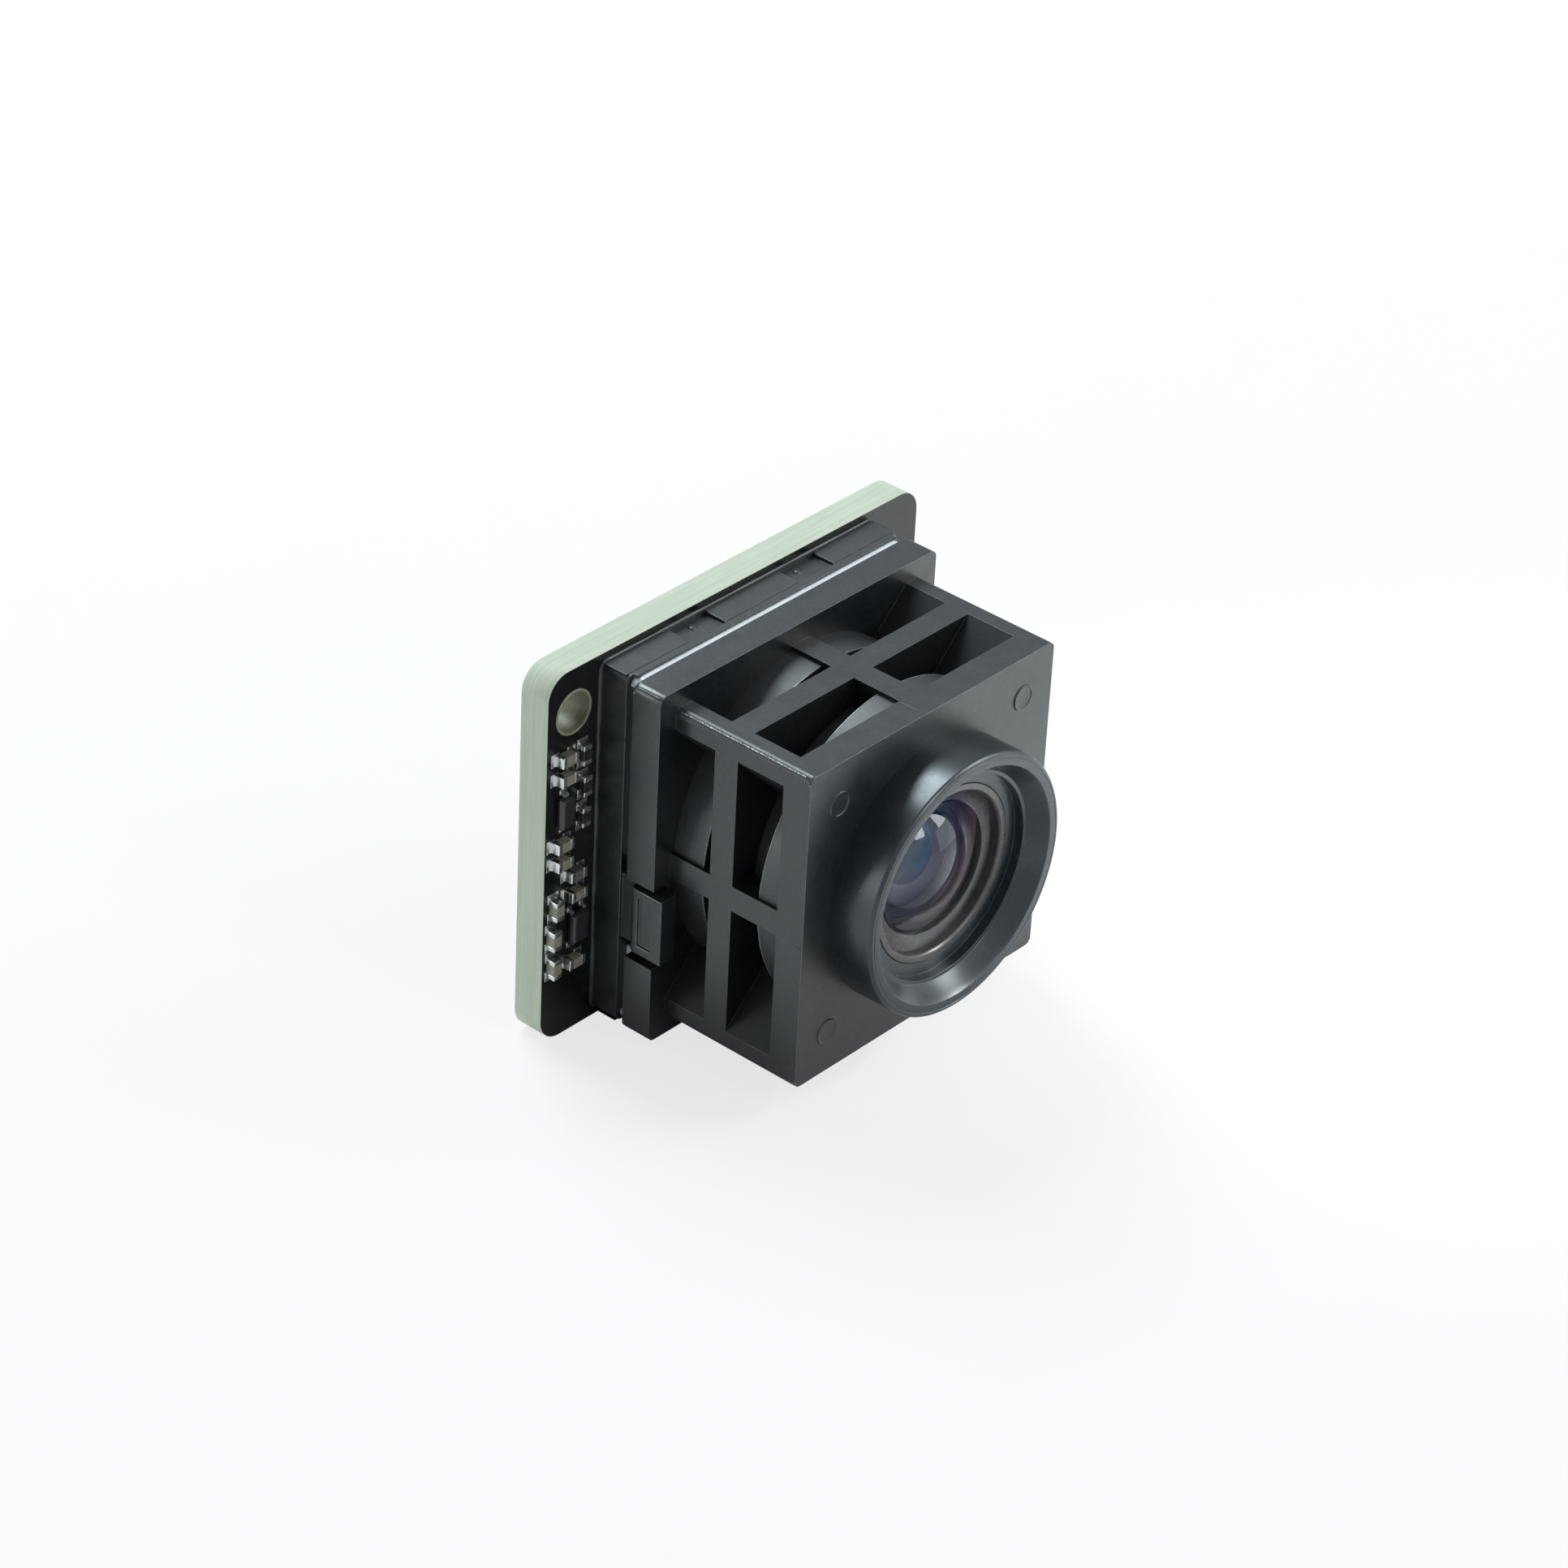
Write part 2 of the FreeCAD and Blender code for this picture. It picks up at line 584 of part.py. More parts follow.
def flange_seal():
    """The squeezed seal between the holder and the housing's flange, narrower beside the hooks."""
    body = new_body("flange_seal", seal_rear)
    shape = front_sketch(body, "seal_outline")
    side = flange_width / 2 - mm.seal_inset_side
    top = flange_height / 2 - mm.seal_inset_top
    waist = flange_width / 2 - mm.hook_setback - mm.hook_neck - mm.seal_clearance
    reach = mm.hook_width / 2 + mm.seal_play
    above = reach - mm.hook_drop
    below = -reach - mm.hook_drop
    outline(shape, [
        (side, -top), (side, below), (waist, below), (waist, above), (side, above), (side, top),
        (-side, top), (-side, above), (-waist, above), (-waist, below), (-side, below), (-side, -top),
    ])
    block = pad(body, "seal_block", shape, mm.seal_gap)
    corners = edge_names(block, runs_along_y(side, top))
    dressed(body, "Fillet", "seal_corners", block, corners, mm.seal_corner_radius)
    middle = front_sketch(body, "seal_opening_outline", mm.seal_gap)
    centred_rectangle(middle, 2 * (waist - mm.seal_width), 2 * (top - mm.seal_width))
    pocket(body, "seal_opening", middle)
    return body


def bay_outline(sketch, radius, mirror):
    """One bay of the lattice, between the middle rib, the web to the box's edge and the barrel."""
    rib = mm.middle_rib / 2
    face = mm.box_width / 2
    beyond = face + mm.edge_bar
    at_rib = root(radius * radius - rib * rib)
    at_web = (root(2 * radius * radius - mm.edge_bar * mm.edge_bar) - mm.edge_bar) / 2
    side = -1 if mirror else 1
    outline(sketch, [
        (side * rib, at_rib),
        (side * at_web, at_web + mm.edge_bar),
        (side * (face - mm.edge_bar), face),
        (side * (face - mm.edge_bar), beyond),
        (side * rib, beyond),
    ], arcs=(0,))


def cut_bays(body, name, forward, length, radius):
    """The two bays of the top side, down to a radius, and the same on the other three sides."""
    sketch = front_sketch(body, name + "_outline", forward)
    bay_outline(sketch, radius, mirror=False)
    bay_outline(sketch, radius, mirror=True)
    cut = pocket(body, name + "_cut", sketch, length)
    return quarter_pattern(body, name, cut)


def lens_housing():
    """One moulding: flange, box with cored sides round a stepped barrel, and front plate."""
    body = new_body("lens_housing", flange_rear)
    flange_shape = front_sketch(body, "flange_outline")
    centred_rectangle(flange_shape, flange_width, flange_height)
    flange = pad(body, "flange", flange_shape, mm.flange_thickness)
    half_width = flange_width / 2
    half_height = flange_height / 2
    corners = edge_names(flange, runs_along_y(half_width, half_height))
    rounded = dressed(body, "Fillet", "flange_corners", flange, corners, mm.flange_corner_radius)
    rear_rim = edge_names(rounded, lambda start, end: abs(start.y) < 1e-6 and abs(end.y) < 1e-6)
    dressed(body, "Chamfer", "flange_rear_edge", rounded, rear_rim, mm.flange_edge_chamfer)

    box_shape = front_sketch(body, "box_outline", mm.flange_thickness)
    centred_rectangle(box_shape, mm.box_width, mm.box_width)
    box = pad(body, "box", box_shape, mm.box_depth)
    half_box = mm.box_width / 2
    long_edges = edge_names(box, runs_along_y(half_box, half_box))
    eased = dressed(body, "Fillet", "box_corners", box, long_edges, mm.box_corner_radius)
    reach = mm.flange_thickness + mm.box_depth
    plate_rim = edge_names(eased, lambda start, end: abs(start.y + reach.number) < 1e-6
                           and abs(end.y + reach.number) < 1e-6)
    dressed(body, "Chamfer", "plate_edge", eased, plate_rim, mm.box_edge_chamfer)

    front_bay = mm.box_depth - mm.front_plate_thickness - mm.cross_bar - mm.rear_bay_length
    plate_back = reach - mm.front_plate_thickness
    rear_bay_front = mm.flange_thickness + mm.rear_bay_length
    cut_bays(body, "front_bays", plate_back, front_bay, collar_radius)
    cut_bays(body, "front_waist", plate_back - mm.front_collar_length,
             front_bay - mm.front_collar_length, waist_radius)
    cut_bays(body, "rear_bays", rear_bay_front, mm.rear_bay_length, collar_radius)
    cut_bays(body, "rear_waist", rear_bay_front,
             mm.rear_bay_length - mm.rear_collar_length, waist_radius)

    bore_shape = front_sketch(body, "barrel_bore_outline", reach)
    circle(bore_shape, 0, 0, mm.barrel_radius + mm.barrel_clearance)
    pocket(body, "barrel_bore", bore_shape, reach - mm.rear_ledge_thickness - mm.filter_seat_depth)
    light_path = front_sketch(body, "light_path_outline", reach)
    circle(light_path, 0, 0, mm.rear_bore_radius)
    pocket(body, "light_path", light_path)
    seat_shape = front_sketch(body, "filter_seat_outline")
    seat_width = mm.filter_width + 2 * mm.filter_clearance
    centred_rectangle(seat_shape, seat_width, seat_width)
    pocket(body, "filter_seat", seat_shape, mm.filter_seat_depth, forwards=True)

    notch_floor = half_width - mm.hook_setback - mm.hook_neck - mm.hook_side_clearance
    notch_top = -mm.hook_drop + mm.hook_width / 2 + mm.notch_play_above
    notch_bottom = -mm.hook_drop - mm.hook_width / 2 - mm.notch_play_below
    notches = front_sketch(body, "notch_outlines", mm.flange_thickness)
    rectangle(notches, notch_floor, half_width + mm.edge_bar, notch_bottom, notch_top)
    rectangle(notches, -half_width - mm.edge_bar, -notch_floor, notch_bottom, notch_top)
    pocket(body, "hook_notches", notches, mm.flange_thickness)
    return body


def lens_barrel():
    """The lens barrel: a hooded head on the front plate and a tube in the housing's bore."""
    ledge = mm.cone_end_radius - mm.ledge_width
    return turned("lens_barrel", 0, [
        (mm.rim_inner_radius, 0),
        (mm.head_radius - mm.head_edge, 0),
        (mm.head_radius, mm.head_edge),
        (mm.head_radius, mm.head_length),
        (mm.barrel_radius, mm.head_length),
        (mm.barrel_radius, barrel_end),
        (mm.rear_lip_radius, barrel_end),
        (mm.rear_lip_radius, lens_bore_end),
        (mm.lens_bore_radius, lens_bore_end),
        (mm.lens_bore_radius, mm.floor_depth),
        (ledge, mm.floor_depth),
        (ledge, mm.cone_end_depth),
        (mm.cone_end_radius, mm.cone_end_depth),
        (mm.rim_inner_radius - mm.rim_round_width, mm.rim_round_depth),
    ])


def retaining_ring():
    """The flat ring in front of the front lens's rim, round its dome."""
    mouth = mm.front_lens_optic_radius + mm.ring_clearance
    return turned("retaining_ring", ring_front, [
        (lens_radius, 0),
        (lens_radius, mm.ring_length),
        (mouth, mm.ring_length),
        (mouth, mm.ring_edge),
        (mouth + mm.ring_edge, 0),
    ])


def front_lens():
    """The front lens: domed in front, hollow behind, with a flat rim in the bore."""
    return turned("front_lens", front_lens_place, [
        (0, -mm.front_lens_dome),
        (mm.front_lens_optic_radius, 0),
        (lens_radius, 0),
        (lens_radius, mm.front_lens_edge),
        (mm.front_lens_cup_radius, mm.front_lens_edge),
        (0, mm.front_lens_edge - mm.front_lens_cup_depth),
    ], arcs=(0, 4))


def front_spacer():
    """The spacer between the front and second lenses, narrower at its rear end."""
    return turned("front_spacer", front_spacer_place, [
        (mm.front_spacer_radius, 0),
        (lens_radius, 0),
        (lens_radius, mm.front_spacer_length),
        (mm.front_spacer_radius - mm.front_spacer_taper, mm.front_spacer_length),
    ])


def second_lens():
    """The second lens: domed in front, flat behind."""
    return turned("second_lens", second_lens_place, [
        (0, -mm.second_lens_dome),
        (mm.second_lens_optic_radius, 0),
        (lens_radius, 0),
        (lens_radius, mm.second_lens_edge),
        (0, mm.second_lens_edge),
    ], arcs=(0,))


def aperture_stop():
    """The thin disc that limits the light."""
    return turned("aperture_stop", stop_place, [
        (mm.stop_radius, 0),
        (lens_radius, 0),
        (lens_radius, mm.stop_thickness),
        (mm.stop_radius, mm.stop_thickness),
    ])


def rear_spacer():
    """The plain spacer between the aperture stop and the rear lens."""
    return turned("rear_spacer", rear_spacer_place, [
        (mm.rear_spacer_radius, 0),
        (lens_radius, 0),
        (lens_radius, mm.rear_spacer_length),
        (mm.rear_spacer_radius, mm.rear_spacer_length),
    ])


def rear_lens():
    """The rear lens: domed in front, flat behind, against the barrel's rear lip."""
    return turned("rear_lens", rear_lens_place, [
        (0, -mm.rear_lens_dome),
        (mm.rear_lens_optic_radius, 0),
        (lens_radius, 0),
        (lens_radius, mm.rear_lens_edge),
        (0, mm.rear_lens_edge),
    ], arcs=(0,))


def infrared_filter():
    """The square filter in its seat behind the lens."""
    floor = flange_rear + mm.filter_seat_depth
    body = new_body("infrared_filter", floor - mm.filter_thickness)
    shape = front_sketch(body, "filter_outline")
    centred_rectangle(shape, mm.filter_width, mm.filter_width)
    pad(body, "filter_plate", shape, mm.filter_thickness)
    return body


def sensor_package():
    """The open ceramic package of the image sensor."""
    body = new_body("sensor_package", mm.board_thickness)
    shape = front_sketch(body, "package_outline")
    centred_rectangle(shape, mm.package_width, mm.package_height)
    pad(body, "package_block", shape, mm.package_depth)
    cavity = front_sketch(body, "package_cavity_outline", mm.package_depth)
    wall = 2 * mm.package_wall
    centred_rectangle(cavity, mm.package_width - wall, mm.package_height - wall)
    pocket(body, "package_cavity", cavity, mm.package_depth - mm.package_floor)
    return body


def sensor_die():
    """The image sensor's silicon in the package's cavity."""
    body = new_body("sensor_die", mm.board_thickness + mm.package_floor)
    shape = front_sketch(body, "die_outline")
    margin = 2 * mm.package_wall + 2 * mm.die_gap
    centred_rectangle(shape, mm.package_width - margin, mm.package_height - margin)
    pad(body, "die_plate", shape, mm.die_thickness)
    return body


def sensor_cover_glass():
    """The glass lid on the sensor's package."""
    body = new_body("sensor_cover_glass", mm.board_thickness + mm.package_depth)
    shape = front_sketch(body, "cover_outline")
    margin = 2 * mm.cover_inset
    centred_rectangle(shape, mm.package_width - margin, mm.package_height - margin)
    pad(body, "cover_plate", shape, mm.cover_thickness)
    return body


def connector_shell():
    """The plastic of the board connector: walls, a slot all round and a tongue in the middle."""
    body = new_body("connector_shell", 0)
    shape = front_sketch(body, "shell_outline", -mm.connector_depth)
    centred_rectangle(shape, mm.connector_width, mm.connector_height)
    pad(body, "shell_block", shape, mm.connector_depth)
    slot_width = mm.connector_width - 2 * mm.connector_end_wall
    slot_height = mm.connector_height - 2 * mm.connector_side_wall
    slot = front_sketch(body, "slot_outline", -mm.connector_depth)
    centred_rectangle(slot, slot_width, slot_height)
    centred_rectangle(slot, slot_width - 2 * mm.connector_slot, slot_height - 2 * mm.connector_slot)
    pocket(body, "shell_slot", slot, mm.connector_slot_depth, forwards=True)
    channel = front_sketch(body, "foot_channel_outline")
    for side in (-1, 1):
        inner = side * (slot_height / 2 - mm.connector_slot)
        outer = side * (mm.connector_height / 2 + mm.contact_foot)
        low, high = (outer, inner) if side < 0 else (inner, outer)
        rectangle(channel, -slot_width / 2, slot_width / 2, low, high)
    pocket(body, "foot_channels", channel, mm.connector_depth - mm.connector_slot_depth)
    return body


def connector_contacts():
    """Two rows of bent contacts: a foot under the long wall and a leg up inside it."""
    body = new_body("connector_contacts", 0)
    first = -mm.contact_pitch * (mm.contact_count - 1) / 2 - mm.contact_width / 2
    shape = new_sketch(body, "contact_outlines", "YZ_Plane", first)
    wall = mm.connector_height / 2 - mm.connector_side_wall - mm.contact_clearance
    toe = mm.connector_height / 2 + mm.contact_foot
    for side in (1, -1):
        outline(shape, [
            (0, side * (wall - mm.contact_thickness)),
            (mm.contact_rise, side * (wall - mm.contact_thickness)),
            (mm.contact_rise, side * wall),
            (mm.contact_thickness, side * wall),
            (mm.contact_thickness, side * toe),
            (0, side * toe),
        ])
    pair = pad(body, "contact_pair", shape, mm.contact_width)
    rows_of_contacts = body.newObject("PartDesign::LinearPattern", "contact_rows")
    rows_of_contacts.Originals = [pair]
    rows_of_contacts.Direction = (datum(body, "X_Axis"), [""])
    rows_of_contacts.setExpression("Length", (mm.contact_pitch * (mm.contact_count - 1)).formula)
    rows_of_contacts.setExpression("Occurrences", mm.contact_count.formula)
    body.Tip = rows_of_contacts
    return body


def bound_box(name, width, depth, height, x, y, z):
    """A Part box whose size and place are sizes."""
    box = doc.addObject("Part::Box", name)
    for field, size in (("Length", width), ("Width", depth), ("Height", height),
                        ("Placement.Base.x", x), ("Placement.Base.y", y), ("Placement.Base.z", z)):
        box.setExpression(field, as_size(size).formula)
    return box


def centred_box(name, width, rise, height, x=0, z=0):
    """A box that stands on the board's front face, centred on a point of its own part."""
    return bound_box(name, width, rise, height, x - as_size(width) / 2, -as_size(rise),
                     z - as_size(height) / 2)


def placed_on_board(part, label, inset, height):
    """Names a part and stands it on the board's front face."""
    part.Label = label
    part.setExpression("Placement.Base.x", (inset - board_width / 2).formula)
    part.setExpression("Placement.Base.y", (-mm.board_thickness).formula)
    part.setExpression("Placement.Base.z", height.formula)
    return part


def fused(name, pieces):
    """Several solids joined into one."""
    joint = doc.addObject("Part::MultiFuse", name)
    joint.Shapes = pieces
    return joint


def chip(label, kind, axis):
    """A chip part: a body and two slightly larger metal ends."""
    rise = getattr(mm, kind + "_rise")
    middle = mm.chip_length - 2 * mm.chip_end
    offset = (mm.chip_length - mm.chip_end) / 2
    end_width = mm.chip_width + 2 * mm.chip_end_rise
    end_rise = rise + mm.chip_end_rise
    if axis == "X":
        core = centred_box(label + "_core", middle, rise, mm.chip_width)
        ends = [centred_box(label + "_end_" + str(number), mm.chip_end, end_rise, end_width, x=side * offset)
                for number, side in enumerate((-1, 1))]
    else:
        core = centred_box(label + "_core", mm.chip_width, rise, middle)
        ends = [centred_box(label + "_end_" + str(number), end_width, end_rise, mm.chip_end, z=side * offset)
                for number, side in enumerate((-1, 1))]
    part = fused(label + "_part", [core] + ends)
    return placed_on_board(part, label, getattr(mm, label + "_inset"), getattr(mm, label + "_height"))


def small_package(label, width, rise, length, leads, inset, height):
    """A moulded package with bevelled top edges and short leads at its upper and lower ends."""
    block = centred_box(label + "_block", width, rise, length)
    bevel = doc.addObject("Part::Chamfer", label + "_bevel")
    bevel.Base = block
    doc.recompute()
    front = -rise.number
    rim_edges = [number for number, edge in enumerate(block.Shape.Edges, start=1)
                 if all(abs(vertex.Point.y - front) < 1e-6 for vertex in edge.Vertexes)]
    bevel.Edges = [(number, mm.package_bevel.number, mm.package_bevel.number) for number in rim_edges]
    tabs = []
    for number, (x, side) in enumerate(leads):
        reach = mm.lead_length + mm.lead_width
        z = side * (length / 2 + mm.lead_length - reach / 2)
        tabs.append(centred_box(label + "_lead_" + str(number), mm.lead_width, mm.lead_rise, reach, x=x, z=z))
    part = fused(label + "_part", [bevel] + tabs)
    return placed_on_board(part, label, inset, height)


def diode():
    """The two-lead diode."""
    return small_package("diode", mm.diode_width, mm.diode_rise, mm.diode_length,
                         [(0, 1), (0, -1)], mm.diode_inset, mm.diode_height)


def regulator():
    """The five-lead regulator."""
    spread = (mm.regulator_width - mm.lead_width) / 2
    leads = [(-spread, 1), (spread, 1), (-spread, -1), (0, -1), (spread, -1)]
    return small_package("regulator", mm.regulator_width, mm.regulator_rise, mm.regulator_length,
                         leads, mm.regulator_inset, mm.regulator_height)


# Every sub-part, in the order in which the module is put together
parts = [
    circuit_board(), sensor_package(), sensor_die(), sensor_cover_glass(),
    holder_bond(), sensor_holder(), flange_seal(), lens_housing(), infrared_filter(),
    lens_barrel(), rear_lens(), rear_spacer(), aperture_stop(),
    second_lens(), front_spacer(), front_lens(), retaining_ring(),
    connector_shell(), connector_contacts(), diode(), regulator(),
]
for chip_name, chip_kind, chip_inset, chip_height, chip_axis in CHIPS:
    parts.append(chip(chip_name, chip_kind, chip_axis))
doc.recompute()

# Nothing is written unless every object and every sub-part's shape is sound
failed = [item.Label for item in doc.Objects if "Invalid" in item.State or "Error" in item.State]
if failed:
    raise RuntimeError("failed objects: " + ", ".join(failed))
for part in parts:
    if part.Shape.isNull() or not part.Shape.isValid() or not part.Shape.Solids:
        raise RuntimeError("no sound shape: " + part.Label)

os.makedirs("parts", exist_ok=True)
for part in parts:
    part.Shape.exportStep(os.path.join("parts", part.Label + ".step"))
    print(part.Label, len(part.Shape.Solids), "solid", round(part.Shape.Volume, 3), "mm3")
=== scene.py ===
# %% [markdown]
# # A board camera, dressed for its portrait
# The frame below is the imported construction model: every part of the camera module as plain grey solids,
# in metres, with the lens looking along -Y and +Z up. This lesson gives those solids their finish. Parts
# whose solid is right keep it and get a material. Parts that need rounder edges or finer curves are made
# again here, as surfaces worked out with numpy, in exactly the place of the solid they stand for.

# %% Load the frame
import math

import bmesh
import bpy
import numpy as np
from mathutils import Matrix, Vector


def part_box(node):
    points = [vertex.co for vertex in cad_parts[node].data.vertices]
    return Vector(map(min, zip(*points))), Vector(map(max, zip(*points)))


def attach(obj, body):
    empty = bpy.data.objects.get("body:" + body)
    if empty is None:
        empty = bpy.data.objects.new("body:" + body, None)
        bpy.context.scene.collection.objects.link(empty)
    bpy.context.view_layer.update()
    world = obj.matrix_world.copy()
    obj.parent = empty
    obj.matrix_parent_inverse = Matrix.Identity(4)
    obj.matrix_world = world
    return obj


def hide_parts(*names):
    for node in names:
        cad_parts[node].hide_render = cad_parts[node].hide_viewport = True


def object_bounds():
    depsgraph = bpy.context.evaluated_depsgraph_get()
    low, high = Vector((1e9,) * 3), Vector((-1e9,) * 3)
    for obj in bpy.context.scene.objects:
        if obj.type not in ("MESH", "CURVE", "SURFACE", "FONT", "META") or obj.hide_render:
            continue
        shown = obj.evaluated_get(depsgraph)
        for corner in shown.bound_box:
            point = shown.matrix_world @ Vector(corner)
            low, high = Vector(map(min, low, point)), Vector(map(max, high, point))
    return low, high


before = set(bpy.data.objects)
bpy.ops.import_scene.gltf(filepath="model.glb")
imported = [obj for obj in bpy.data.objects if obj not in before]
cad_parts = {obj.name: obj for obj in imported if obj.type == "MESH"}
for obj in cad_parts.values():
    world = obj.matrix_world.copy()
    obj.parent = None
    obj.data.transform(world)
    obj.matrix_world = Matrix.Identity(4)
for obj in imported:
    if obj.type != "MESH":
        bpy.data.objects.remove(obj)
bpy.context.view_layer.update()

print("nodes in the frame:", len(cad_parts))

# %% [markdown]
# ## Millimetres and places
# A camera module is drawn in millimetres, so the lesson thinks in millimetres too and changes to metres
# only where points go into a mesh. The places along the optical axis are read from the frame's own boxes:
# if the construction model moves a face, the dressed parts move with it. A few lengths that no box shows
# are written out as the construction model has them. Two places count as the same when they are `touching`.

# %% Places read from the frame
MM = 0.001


def limits(node):
    """The lowest and highest corner of a CAD node, in millimetres."""
    low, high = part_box(node)
    return np.array(low) / MM, np.array(high) / MM


housing_low, housing_high = limits("lens_housing")
plate_front, flange_rear = housing_low[1], housing_high[1]
half_flange, flange_top = housing_high[0], housing_high[2]
board_front = limits("circuit_board")[0][1]
holder_top = limits("sensor_holder")[1][2]
rim_front = limits("lens_barrel")[0][1]

# Lengths that no box shows.
plate_width = 16.0
half_box = plate_width / 2
half_holder = 8.8
flange_front = flange_rear - 1.6
plate_back = plate_front + 1.5
screw_x, screw_z = 10.4, 7.25
seat_radius = 4.27
touching = 0.01
print("front plate at", round(plate_front, 2), "mm, rim of the hood at", round(rim_front, 2), "mm")

# %% [markdown]
# ## From a grid of points to a mesh
# Most parts here are grids: rows of points that follow a profile, columns that go round or across.
# Neighbours in the grid share a four-sided face. `grid_surface` numbers those faces for a whole grid at
# once, and `make_piece` joins several such surfaces, closes seams and poles, and turns all faces outwards.

# %% Helpers: grids and pieces
def grid_surface(points, wrap_rows=False, cap_ends=False, slot=0):
    """Faces over a grid of points: row i, column j joins row i+1 and column j+1.

    The last column always joins the first, the last row only where rows wrap. cap_ends closes the
    first and last row with one many-sided face each."""
    rows, columns = points.shape[:2]
    here = np.arange(rows * columns).reshape(rows, columns)
    ahead = np.roll(here, -1, axis=0)
    aside = np.roll(here, -1, axis=1)
    both = np.roll(ahead, -1, axis=1)
    quads = np.stack([here, aside, both, ahead], axis=-1)
    if not wrap_rows:
        quads = quads[:-1]
    faces = quads.reshape(-1, 4).tolist()
    if cap_ends:
        faces += [here[0].tolist()[::-1], here[-1].tolist()]
    return points.reshape(-1, 3), faces, slot


def close_mesh(mesh):
    """Merges doubled points, drops faces without area and turns every closed shell outwards."""
    shell = bmesh.new()
    shell.from_mesh(mesh)
    bmesh.ops.remove_doubles(shell, verts=shell.verts, dist=2e-7)
    bmesh.ops.dissolve_degenerate(shell, edges=shell.edges, dist=1e-7)
    bmesh.ops.recalc_face_normals(shell, faces=shell.faces)
    shell.to_mesh(mesh)
    shell.free()


def shade(mesh, angle):
    """Smooth shading, with a hard edge wherever two faces meet at more than the angle."""
    mesh.polygons.foreach_set("use_smooth", np.ones(len(mesh.polygons), bool))
    mesh.set_sharp_from_angle(angle=math.radians(angle))


def surfaces_to_mesh(name, surfaces):
    """One mesh from several surfaces given in millimetres, each with its own material number."""
    points = []
    faces = []
    owners = []
    start = 0
    for surface_points, surface_faces, owner in surfaces:
        points.append(surface_points)
        faces += [[start + corner for corner in face] for face in surface_faces]
        owners += owner if isinstance(owner, list) else [owner] * len(surface_faces)
        start += len(surface_points)
    mesh = bpy.data.meshes.new(name)
    mesh.from_pydata((np.concatenate(points) * MM).tolist(), [], faces)
    mesh.polygons.foreach_set("material_index", np.array(owners, dtype=np.int32))
    return mesh


def in_scene(name, data):
    """A new object in the scene, around a mesh, a lamp or a camera."""
    thing = bpy.data.objects.new(name, data)
    bpy.context.scene.collection.objects.link(thing)
    return thing


def enlist(name, mesh, materials, nodes):
    """Puts a mesh in the scene as a piece of the camera, standing for the named CAD nodes."""
    piece = in_scene(name, mesh)
    for material in materials:
        mesh.materials.append(material)
    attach(piece, "root")
    if nodes:
        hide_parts(*nodes)
    print(name, len(mesh.polygons), "faces")
    return piece


def make_piece(name, surfaces, materials, nodes=(), angle=34.0):
    """One piece from several closed surfaces, with its place in its mesh.

    Faces that meet at more than the angle, in degrees, have a hard edge between them."""
    mesh = surfaces_to_mesh(name, surfaces)
    close_mesh(mesh)
    shade(mesh, angle)
    return enlist(name, mesh, materials, nodes)


# %% [markdown]
# ## Turned shapes
# The lens barrel, its rings and the glasses are all turned: one profile carried round the optical axis.
# Real turned and moulded parts have no perfectly sharp corner, and it is the small round on each corner
# that catches the light. `eased` puts that round into the profile before it is turned.

# %% Helpers: profiles and turning
def eased(corners, closed=True, steps=5):
    """A profile with rounded corners. Each corner is (radius, depth, round).

    A corner gives way to a curve that starts one round before it and ends one round after it:
    (1-t)^2 before + 2t(1-t) corner + t^2 after."""
    places = np.array([corner[:2] for corner in corners], float)
    count = len(places)
    t = np.linspace(0, 1, steps)[:, None]
    line = []
    for number, (corner, amount) in enumerate(zip(places, [given[2] for given in corners])):
        end = not closed and number in (0, count - 1)
        if amount <= 0 or end:
            line.append(corner[None])
            continue
        back = places[number - 1] - corner
        forth = places[(number + 1) % count] - corner
        before = corner + back * min(amount / np.linalg.norm(back), 0.49)
        after = corner + forth * min(amount / np.linalg.norm(forth), 0.49)
        line.append((1 - t) ** 2 * before + 2 * t * (1 - t) * corner + t ** 2 * after)
    return np.concatenate(line)


def cap_curve(optic_radius, height, steps):
    """Half the section of a round lens face, from its top on the axis to its edge.

    The sphere that has this width and height: R = (r^2 + h^2) / 2h, depth = R - sqrt(R^2 - x^2) - h."""
    ball = (optic_radius ** 2 + height ** 2) / (2 * abs(height))
    across = np.linspace(0, optic_radius, steps)
    depth = ball - np.sqrt(ball ** 2 - across ** 2) - abs(height)
    return np.stack([across, np.sign(height) * depth], axis=-1)


def turned_surface(profile, front, closed=True, segments=224, slot=0, centre=(0.0, 0.0)):
    """A profile of (radius, depth) carried round an axis along Y, its depth counted from front.

    x = cx + radius sin(a), y = front + depth, z = cz + radius cos(a), for the angle a all the way round."""
    radius, depth = np.asarray(profile, float).T
    turn = np.linspace(0, 2 * np.pi, segments, endpoint=False)
    x = centre[0] + radius[:, None] * np.sin(turn)
    z = centre[1] + radius[:, None] * np.cos(turn)
    y = np.broadcast_to(front + depth[:, None], x.shape)
    return grid_surface(np.stack([x, y, z], axis=-1), wrap_rows=closed, slot=slot)


# %% [markdown]
# ## Rounded blocks
# Chips, pads and witness lines start as blocks with rounded edges. A block with a round of radius r is
# what a ball of that radius covers while its middle visits a smaller block. So each point is a corner of
# the smaller block plus a point of the ball, and all eight corners come out of one grid.

# %% Helpers: rounded blocks and outlines
def corner_turns(steps):
    """The angles of four quarter turns, and for each angle the signs of the corner that it rounds."""
    quarter = np.linspace(0, np.pi / 2, steps)
    angle = np.concatenate([quarter + k * np.pi / 2 for k in range(4)])
    return angle, np.repeat([1, -1, -1, 1], steps), np.repeat([1, 1, -1, -1], steps)


